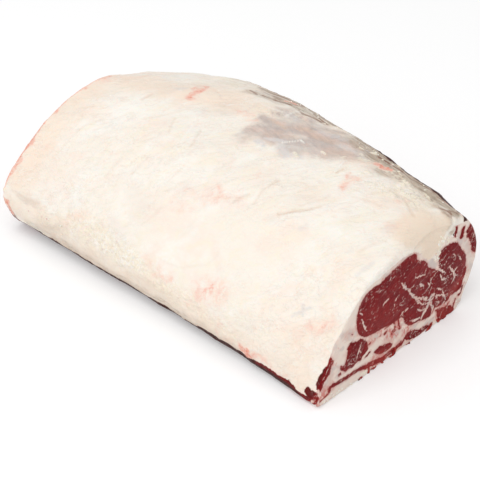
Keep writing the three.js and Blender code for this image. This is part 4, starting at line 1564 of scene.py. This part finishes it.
def beef_material(looks):
    """Fat and lean of the whole roast, told apart by the marks on its pieces."""
    material, wiring = new_material("raw_beef")
    skin_colour = cap_wisps(wiring, looks, cap_ground(wiring, looks))
    skin_colour = cap_marks(wiring, looks, cap_films(wiring, looks, skin_colour))
    cut_colour, cut_height = cut_fat(wiring, looks)
    lean_colour, lean_height = lean_meat(wiring, looks)
    cut = wiring.mark("cut")
    lean, stained = lean_shares(wiring)
    pinkened = wiring.mark("chine") * (0.35 + wiring.noise(6, 3) * 0.7)
    fat = wiring.coats(wiring.blend(cut, skin_colour, cut_colour), (pinkened, looks.pink_fat),
                       (stained, looks.stained_fat))
    # Browned, dried lean; where the membrane marks and dark lines lie it is painted shade, darkest in
    # the shadow line under the lip.
    dried_and_shaded = wiring.noise(22, 3, stretch=(2, 1, 1)).rise(0.35, 0.6) * 0.6
    dried_and_shaded = dried_and_shaded | wiring.mark("dull_and_shade").rise(0.1, 0.5) | wiring.mark("line").rise(0, 0.6)
    dried_and_shaded = dried_and_shaded * (1 - cut) * (1 - wiring.mark("raw").rise(0, 0.8) * 0.85)
    bare = wiring.coats(lean_colour, (dried_and_shaded, looks.dry_and_shaded_lean))
    colour = film_colour(wiring, looks, wiring.blend(lean, fat, bare))
    height = lean_height * lean + (cap_height(wiring) * (1 - cut) + cut_height * cut) * (1 - lean)
    roughness = 0.52 - 0.1 * lean + 0.1 * (wiring.noise(6, 2) - 0.5)
    finish_material(wiring, colour, roughness, height, MOIST)
    return material


def crumb_material(name, looks, light, dark):
    """A plain mottled finish for the small scraps."""
    material, wiring = new_material(name)
    mottle = wiring.noise(3, 2)
    stain = wiring.noise(9, 2).rise(0.55, 0.7) * 0.5
    colour = wiring.coats(rgba(light), (mottle.rise(0.38, 0.62), dark), (stain, looks.stained_fat))
    finish_material(wiring, colour, 0.5 + 0.1 * mottle, 0.2 * wiring.noise(1.2, 2), MOIST)
    return material


# -------- scraps, by Geometry Nodes

# Where crumbs of fat lie on the skin, as (start, end, half width, share), and on the cut face.
SKIN_CRUMBS = [
    ((53, 34), (55, 34), 1.6, 1), ((38, 14), (43, 12), 1.5, 0.8), ((75, 77), (78, 80), 1.8, 1),
    ((66, 71), (68, 72), 1.5, 1), ((122, 63), (124, 66), 2.2, 1), ((135, 44), (141, 55), 3, 0.6),
    ((140, 72), (146, 70), 1.5, 0.8), ((60, 80), (170, 86), 9, 0.14), ((-40, 84), (30, 90), 6, 0.14),
    ((-66, -142), (-14, -145), 8, 0.14), ((-154, -150), (-100, -152), 5, 0.1),
]
FACE_CRUMBS = [
    ((40, 66), (41, 77), 3, 2.4), ((41, 77), (47, 80), 3, 2.4), ((47, 80), (57, 78), 3, 2.4),
    ((57, 78), (68, 75), 2.4, 0.8), ((-92, 3), (-30, 1), 3, 0.5), ((72, 15), (76, 8), 3, 0.5),
]
FACE_TAGS = [
    ((-96, 1), (-40, 1), 2.5, 0.6), ((-40, 1), (40, 0), 2.5, 1), ((44, 1), (70, 1), 3, 1),
    ((78, 8), (88, 18), 3, 0.7),
]

SCRAP_SEGMENTS = 8
SCRAP_RINGS = 5
# A scrap's half length, half width and half height as shares of its size, with their seeds.
SCRAP_SHARES = ((0.5, 1.3, 1), (0.4, 0.9, 2), (0.25, 0.55, 3))
SCRAP_NOISE = 420  # lumps of about 2.4 mm
SCRAP_BUMPS = 1.3  # how far they push, as a share of its size
SCRAP_INPUTS = {"Sheet": "Geometry", "Density": "Float", "Size": "Float", "Stretch": "Float",
                "Seed": "Int"}


def scrap_tree(name, material):
    """A tree that scatters small lumps over a sheet, as thick as its density mark says."""
    tree = bpy.data.node_groups.new(name, "GeometryNodeTree")
    for label, kind in SCRAP_INPUTS.items():
        tree.interface.new_socket(label, in_out="INPUT", socket_type="NodeSocket" + kind)
    tree.interface.new_socket("Scraps", in_out="OUTPUT", socket_type="NodeSocketGeometry")
    wiring = Wiring(tree)
    given = wiring.node("NodeGroupInput")
    sheet, density, size, stretch, seed = (wiring.signal(given, label) for label in SCRAP_INPUTS)
    share = wiring.make("GeometryNodeInputNamedAttribute", {"data_type": "FLOAT"}, {"Name": "scraps"})
    spread = wiring.node("GeometryNodeDistributePointsOnFaces", {"distribute_method": "RANDOM"},
                         {"Mesh": sheet, "Density": share * density, "Seed": seed})
    inputs = {"Segments": SCRAP_SEGMENTS, "Rings": SCRAP_RINGS, "Radius": 1.0}
    lump = wiring.make("GeometryNodeMeshUVSphere", inputs=inputs, output="Mesh")

    def random(low, high, own_seed=0):
        inputs = {2: low, 3: high, "Seed": own_seed}
        return wiring.make("FunctionNodeRandomValue", {"data_type": "FLOAT"}, inputs, 1)

    long, wide, thick = (random(*shares) for shares in SCRAP_SHARES)
    scale = wiring.make("ShaderNodeCombineXYZ",
                        inputs={0: long * size * stretch, 1: wide * size, 2: thick * size})
    spin = wiring.make("ShaderNodeCombineXYZ", inputs={2: random(0.0, math.tau)})
    rotation = wiring.make("FunctionNodeRotateRotation", {"rotation_space": "LOCAL"},
                           {"Rotation": wiring.signal(spread, "Rotation"), "Rotate By": spin})
    placed = wiring.make("GeometryNodeInstanceOnPoints",
                         inputs={"Points": wiring.signal(spread, "Points"), "Instance": lump,
                                 "Rotation": rotation, "Scale": scale})
    real = wiring.make("GeometryNodeRealizeInstances", inputs={"Geometry": placed})
    inputs = {"Vector": wiring.make("GeometryNodeInputPosition"), "Scale": SCRAP_NOISE, "Detail": 1.0}
    bumps = wiring.make("ShaderNodeTexNoise", inputs=inputs, output="Color")
    centred = wiring.make("ShaderNodeVectorMath", {"operation": "SUBTRACT"},
                          {0: bumps, 1: (0.5, 0.5, 0.5)})
    pushed = wiring.make("ShaderNodeVectorMath", {"operation": "SCALE"},
                         {0: centred, "Scale": size * SCRAP_BUMPS})
    shaped = wiring.make("GeometryNodeSetPosition", inputs={"Geometry": real, "Offset": pushed})
    smooth = wiring.make("GeometryNodeSetShadeSmooth", inputs={"Geometry": shaped})
    finished = wiring.make("GeometryNodeSetMaterial", inputs={"Geometry": smooth, "Material": material})
    wiring.node("NodeGroupOutput", inputs={"Scraps": finished})
    return tree


ON_FACE = 0.6  # how far round the rim the cut face's own scraps begin


def scrap_share(skin_strokes, face_strokes):
    """How thick scraps lie over the whole surface, from 0 to 1."""
    surface = whole_surface()
    places = np.stack([surface.plain[..., 0], surface.girth], -1)
    share = stroke_mask(places, skin_strokes) * (surface.near_share < ON_FACE)
    on_face = stroke_mask(surface.plain[..., 1:], face_strokes) * (surface.near_share >= ON_FACE)
    return np.maximum(share, on_face)


def scatter_scraps(name, skin_strokes, face_strokes, material, values):
    """Scraps over a part of the surface, as one plain mesh inside the solid's box."""
    share = scrap_share(skin_strokes, face_strokes)
    faces = grid_faces(np.arange(share.size).reshape(share.shape))
    faces = faces[(share.ravel()[faces] > 0).any(-1)][:, ::-1]
    used, faces = np.unique(faces, return_inverse=True)
    points = (whole_surface().points.reshape(-1, 3)[used] - np.array([0, CENTRE_ACROSS, 0])) * MM
    mesh = bpy.data.meshes.new(name + "_sheet")
    mesh.from_pydata(points.tolist(), [], faces.reshape(-1, 4).tolist())
    fill(mesh.attributes.new("scraps", "FLOAT", "POINT").data, "value", share.ravel()[used])
    sheet = link_piece(name + "_sheet", mesh)
    modifier = sheet.modifiers.new("scraps", "NODES")
    modifier.node_group = scrap_tree(name, material)
    for item in modifier.node_group.interface.items_tree:
        if item.name in values:
            modifier[item.identifier] = values[item.name]
    evaluated = sheet.evaluated_get(bpy.context.evaluated_depsgraph_get())
    scraps = bpy.data.meshes.new_from_object(evaluated)
    sheet.modifiers.clear()
    bpy.data.objects.remove(sheet)
    places = np.zeros(len(scraps.vertices) * 3, np.float32)
    scraps.vertices.foreach_get("co", places)
    fill(scraps.vertices, "co", np.clip(places.reshape(-1, 3), np.array(CAD_LOW), np.array(CAD_HIGH)))
    scraps.name = name
    return link_piece(name, scraps)


# -------- what a user may change

def colour_prop(name, description, default):
    return bpy.props.FloatVectorProperty(name=name, description=description, default=default,
                                         subtype="COLOR", min=0, max=1, size=3)


def number_prop(name, description, default, **options):
    return bpy.props.FloatProperty(name=name, description=description, default=default, **options)


class RoastLooks(bpy.types.PropertyGroup):
    """Colours of the fat and the lean."""

    fat: colour_prop("Fat", "Ivory fat of the cap", (0.87, 0.802, 0.715))
    pale_fat: colour_prop("Pale fat", "Whiter patches of the cap", (0.888, 0.85, 0.785))
    cream_fat: colour_prop("Cream fat", "Yellower lumps in the cap", (0.872, 0.795, 0.65))
    peach_fat: colour_prop("Peach fat", "Rosier patches of the cap", (0.875, 0.752, 0.66))
    warm_fat: colour_prop("Warm fat", "Yellower, rosier fat towards the edges", (0.875, 0.73, 0.605))
    pink_fat: colour_prop("Pink fat", "Fat with lean just under it", (0.88, 0.65, 0.55))
    blush: colour_prop("Blush", "Red smears on the cap", (0.79, 0.30, 0.22))
    wash: colour_prop("Beige wash", "Thin beige film over the fat", (0.80, 0.70, 0.61))
    # Greyish membrane colour, which is also the painted shade of the ridge and of the lip's lower edge.
    dull_and_shaded_fat: colour_prop("Dull fat", "Greyish membrane over the fat", (0.45, 0.362, 0.28))
    streak: colour_prop("Streaks", "Dark streaks in the membrane", (0.27, 0.20, 0.15))
    # Brown lines: dried membrane edges, and the painted shadow line under the lip.
    line: colour_prop("Brown lines", "Dried edges of the membrane", (0.245, 0.122, 0.088))
    smooth_fat: colour_prop("Smooth fat", "Fat that the knife has smoothed", (0.84, 0.70, 0.565))
    rosy_silver: colour_prop("Rosy silverskin", "Thin skin over rosy fat", (0.69, 0.54, 0.47))
    silverskin: colour_prop("Silverskin", "Thin grey skin over the cap", (0.545, 0.465, 0.43))
    deep_silver: colour_prop("Deep silverskin", "Darker fibres of the silverskin", (0.44, 0.37, 0.34))
    bluish: colour_prop("Bluish fat", "Cooler patches of thin fat", (0.74, 0.71, 0.69))
    vein: colour_prop("Veins", "Small veins under the fat", (0.69, 0.655, 0.64))
    crease: colour_prop("Crease", "Shade in the creases", (0.66, 0.49, 0.38))
    cut_fat: colour_prop("Cut fat", "Fat in the cut faces", (0.69, 0.52, 0.455))
    pale_cut_fat: colour_prop("Pale cut fat", "Whiter fat in the cut faces", (0.80, 0.685, 0.605))
    grey_cut_fat: colour_prop("Grey cut fat", "Gristle in the cut faces", (0.60, 0.525, 0.49))
    stained_fat: colour_prop("Stained fat", "Fat stained by the lean", (0.60, 0.22, 0.19))
    lean: colour_prop("Lean", "Red of the lean", (0.192, 0.007, 0.009))
    deep_lean: colour_prop("Deep lean", "Darker red of the lean", (0.125, 0.004, 0.007))
    raw_lean: colour_prop("Bright lean", "Brighter red of thin lean", (0.36, 0.045, 0.035))
    light_lean: colour_prop("Light lean", "Paler grain of the lean", (0.31, 0.032, 0.031))
    # Dry lean: browned lean, made near black to paint the shadow under the lip's edge.
    dry_and_shaded_lean: colour_prop("Dry lean", "Browned lean on the outside", (0.055, 0.015, 0.012))
    film: colour_prop("Rib film", "Thin skin of the rib side", (0.68, 0.46, 0.40))


SMALL_LENGTH = {"unit": "LENGTH", "precision": 4}


class RoastScraps(bpy.types.PropertyGroup):
    """The small scraps of fat and lean."""

    crumb_size: number_prop("Crumb size", "Half length of a crumb of fat", 0.0012, **SMALL_LENGTH)
    crumb_density: number_prop("Crumb density", "Crumbs on a square metre", 90000)
    tag_size: number_prop("Tag size", "Half length of a tag of lean", 0.0024, **SMALL_LENGTH)
    tag_density: number_prop("Tag density", "Tags on a square metre", 30000)
    seed: bpy.props.IntProperty(name="Seed", description="Which scatter of scraps", default=5)


class RoastStage(bpy.types.PropertyGroup):
    """Camera, floor and lights."""

    azimuth: number_prop("Azimuth", "Camera's turn round the roast", math.radians(44.229),
                         subtype="ANGLE")
    elevation: number_prop("Elevation", "Camera's angle above the floor", math.radians(34.467),
                           subtype="ANGLE")
    distance: number_prop("Distance", "Camera to its target", 1.1403, unit="LENGTH")
    lens: number_prop("Lens", "Focal length in millimetres", 100)
    target: bpy.props.FloatVectorProperty(
        name="Target", description="What the camera looks at", default=(0.0042, -0.00576, 0.02205),
        subtype="XYZ", unit="LENGTH")
    world_strength: number_prop("Sky", "Light from all round", 0.74)
    key_power: number_prop("Key", "Power of the main soft light", 15, unit="POWER")
    floor_colour: colour_prop("Floor", "Pale floor", (0.75, 0.75, 0.75))
    floor_glow: number_prop("Floor glow", "Light from the floor itself", 0.35)


# -------- operators

def add_skin(context, name, shape):
    """Makes one of the four skins in the roast's one material, and ties it to the frame."""
    beef = bpy.data.materials.get("raw_beef") or beef_material(context.scene.roast_looks)
    place_piece(make_piece(name, shape, beef))


def add_scraps(context, name, strokes, colours, values):
    """Scatters scraps along strokes on the skin and the cut face, and ties them to the frame."""
    material = crumb_material(name, context.scene.roast_looks, *colours)
    values = {**values, "Seed": context.scene.roast_scraps.seed}
    place_piece(scatter_scraps(name, *strokes, material, values))


class ROAST_OT_fat_cap(bpy.types.Operator):
    """Make the fat cap, from the chine shoulder over the crest to the lip's tip"""

    bl_idname = "roast.fat_cap"
    bl_label = "Fat Cap"

    def execute(self, context):
        add_skin(context, "fat_cap", strip_piece(*BODY_ROWS, np.arange(CAP_COLUMNS)))
        return {"FINISHED"}


class ROAST_OT_rib_side(bpy.types.Operator):
    """Make the rib side: the underside with its rib beds, and the bare chine flank"""

    bl_idname = "roast.rib_side"
    bl_label = "Rib Side"

    def execute(self, context):
        columns = np.arange(CAP_COLUMNS - 1, len(turns()) + 1) % len(turns())
        add_skin(context, "rib_side", strip_piece(*BODY_ROWS, columns))
        return {"FINISHED"}


class ROAST_OT_cut_face(bpy.types.Operator):
    """Make the cut face with the open eye muscle"""

    bl_idname = "roast.cut_face"
    bl_label = "Cut Face"

    def execute(self, context):
        add_skin(context, "cut_face", end_piece(1))
        return {"FINISHED"}


class ROAST_OT_far_face(bpy.types.Operator):
    """Make the cut face at the far end"""

    bl_idname = "roast.far_face"
    bl_label = "Far Face"

    def execute(self, context):
        add_skin(context, "far_face", end_piece(-1))
        return {"FINISHED"}


class ROAST_OT_fat_crumbs(bpy.types.Operator):
    """Scatter crumbs of fat along the chine ridge and over the cap muscle"""

    bl_idname = "roast.fat_crumbs"
    bl_label = "Fat Crumbs"

    def execute(self, context):
        looks, scraps = context.scene.roast_looks, context.scene.roast_scraps
        values = {"Density": scraps.crumb_density, "Size": scraps.crumb_size, "Stretch": 1.0}
        add_scraps(context, "fat_crumbs", (SKIN_CRUMBS, FACE_CRUMBS),
                   (looks.pale_fat, looks.cream_fat), values)
        return {"FINISHED"}


class ROAST_OT_lean_tags(bpy.types.Operator):
    """Scatter torn tags of lean along the bottom of the cut face"""

    bl_idname = "roast.lean_tags"
    bl_label = "Lean Tags"

    def execute(self, context):
        looks, scraps = context.scene.roast_looks, context.scene.roast_scraps
        values = {"Density": scraps.tag_density, "Size": scraps.tag_size, "Stretch": 2.0}
        add_scraps(context, "lean_tags", ([], FACE_TAGS), (looks.raw_lean, looks.lean),
                   values)
        return {"FINISHED"}


class ROAST_OT_stage(bpy.types.Operator):
    """Make the floor, the lights and the camera"""

    bl_idname = "roast.stage"
    bl_label = "Stage"

    def execute(self, context):
        stage = context.scene.roast_stage
        make_floor(stage)
        make_lights(stage)
        make_camera(stage)
        return {"FINISHED"}


FLOOR_HALF = 4.0  # metres


def make_floor(stage):
    """A wide pale floor that glows a little."""
    mesh = bpy.data.meshes.new("floor")
    corners = [(x * FLOOR_HALF, y * FLOOR_HALF, 0) for x, y in ((-1, -1), (1, -1), (1, 1), (-1, 1))]
    mesh.from_pydata(corners, [], [(0, 1, 2, 3)])
    material, wiring = new_material("pale_floor")
    colour = rgba(stage.floor_colour)
    inputs = {"Base Color": colour, "Roughness": 1.0, "Specular IOR Level": 0.0,
              "Emission Color": colour, "Emission Strength": stage.floor_glow}
    shader = wiring.make("ShaderNodeBsdfPrincipled", inputs=inputs)
    wiring.node("ShaderNodeOutputMaterial", inputs={"Surface": shader})
    mesh.materials.append(material)
    link_piece("floor", mesh)


# The main light: where it stands from the roast, in metres, and its size.
KEY_FROM = (0.1, -0.85, 1.7)
KEY_SIZE = 1.4


def make_lights(stage):
    world = bpy.data.worlds.new("studio")
    world.use_nodes = True
    background = world.node_tree.nodes["Background"]
    background.inputs["Color"].default_value = (1, 1, 1, 1)
    background.inputs["Strength"].default_value = stage.world_strength
    bpy.context.scene.world = world
    light = bpy.data.lights.new("key", "AREA")
    light.energy = stage.key_power
    light.size = KEY_SIZE
    key = bpy.data.objects.new("key", light)
    key.location = KEY_FROM
    key.rotation_euler = (-Vector(KEY_FROM)).to_track_quat("-Z", "Y").to_euler()
    bpy.context.scene.collection.objects.link(key)


def make_camera(stage):
    turn, climb = stage.azimuth, stage.elevation
    back = Vector((math.sin(turn) * math.cos(climb), -math.cos(turn) * math.cos(climb), math.sin(climb)))
    lens = bpy.data.cameras.new("camera")
    lens.lens = stage.lens
    camera = bpy.data.objects.new("camera", lens)
    camera.location = Vector(stage.target) + back * stage.distance
    camera.rotation_euler = (-back).to_track_quat("-Z", "Y").to_euler()
    bpy.context.scene.collection.objects.link(camera)
    bpy.context.scene.camera = camera
    bpy.context.scene.view_settings.view_transform = "Standard"


class VIEW3D_PT_rib_roast(bpy.types.Panel):
    """Lists the roast's colours, scraps, stage and pieces"""

    bl_label = "Rib Roast"
    bl_space_type = "VIEW_3D"
    bl_region_type = "UI"
    bl_category = "Roast"

    def draw(self, context):
        scene = context.scene
        for settings in (scene.roast_looks, scene.roast_scraps, scene.roast_stage):
            for name in settings.__annotations__:
                self.layout.prop(settings, name)
        for operator in OPERATORS:
            self.layout.operator(operator.bl_idname)


OPERATORS = [ROAST_OT_stage, ROAST_OT_fat_cap, ROAST_OT_rib_side, ROAST_OT_cut_face, ROAST_OT_far_face,
             ROAST_OT_fat_crumbs, ROAST_OT_lean_tags]
SETTINGS = {"roast_looks": RoastLooks, "roast_scraps": RoastScraps, "roast_stage": RoastStage}
CLASSES = [*SETTINGS.values(), *OPERATORS, VIEW3D_PT_rib_roast]


def register():
    for item in CLASSES:
        bpy.utils.register_class(item)
    for name, group in SETTINGS.items():
        setattr(bpy.types.Scene, name, bpy.props.PointerProperty(type=group))


def unregister():
    for name in SETTINGS:
        delattr(bpy.types.Scene, name)
    for item in reversed(CLASSES):
        bpy.utils.unregister_class(item)


def main():
    """Makes the stage and every piece."""
    register()
    for operator in OPERATORS:
        group, name = operator.bl_idname.split(".")
        if getattr(getattr(bpy.ops, group), name)() != {"FINISHED"}:
            raise RuntimeError(f"{operator.bl_label} wasn't made")


if __name__ == "__main__":
    main()
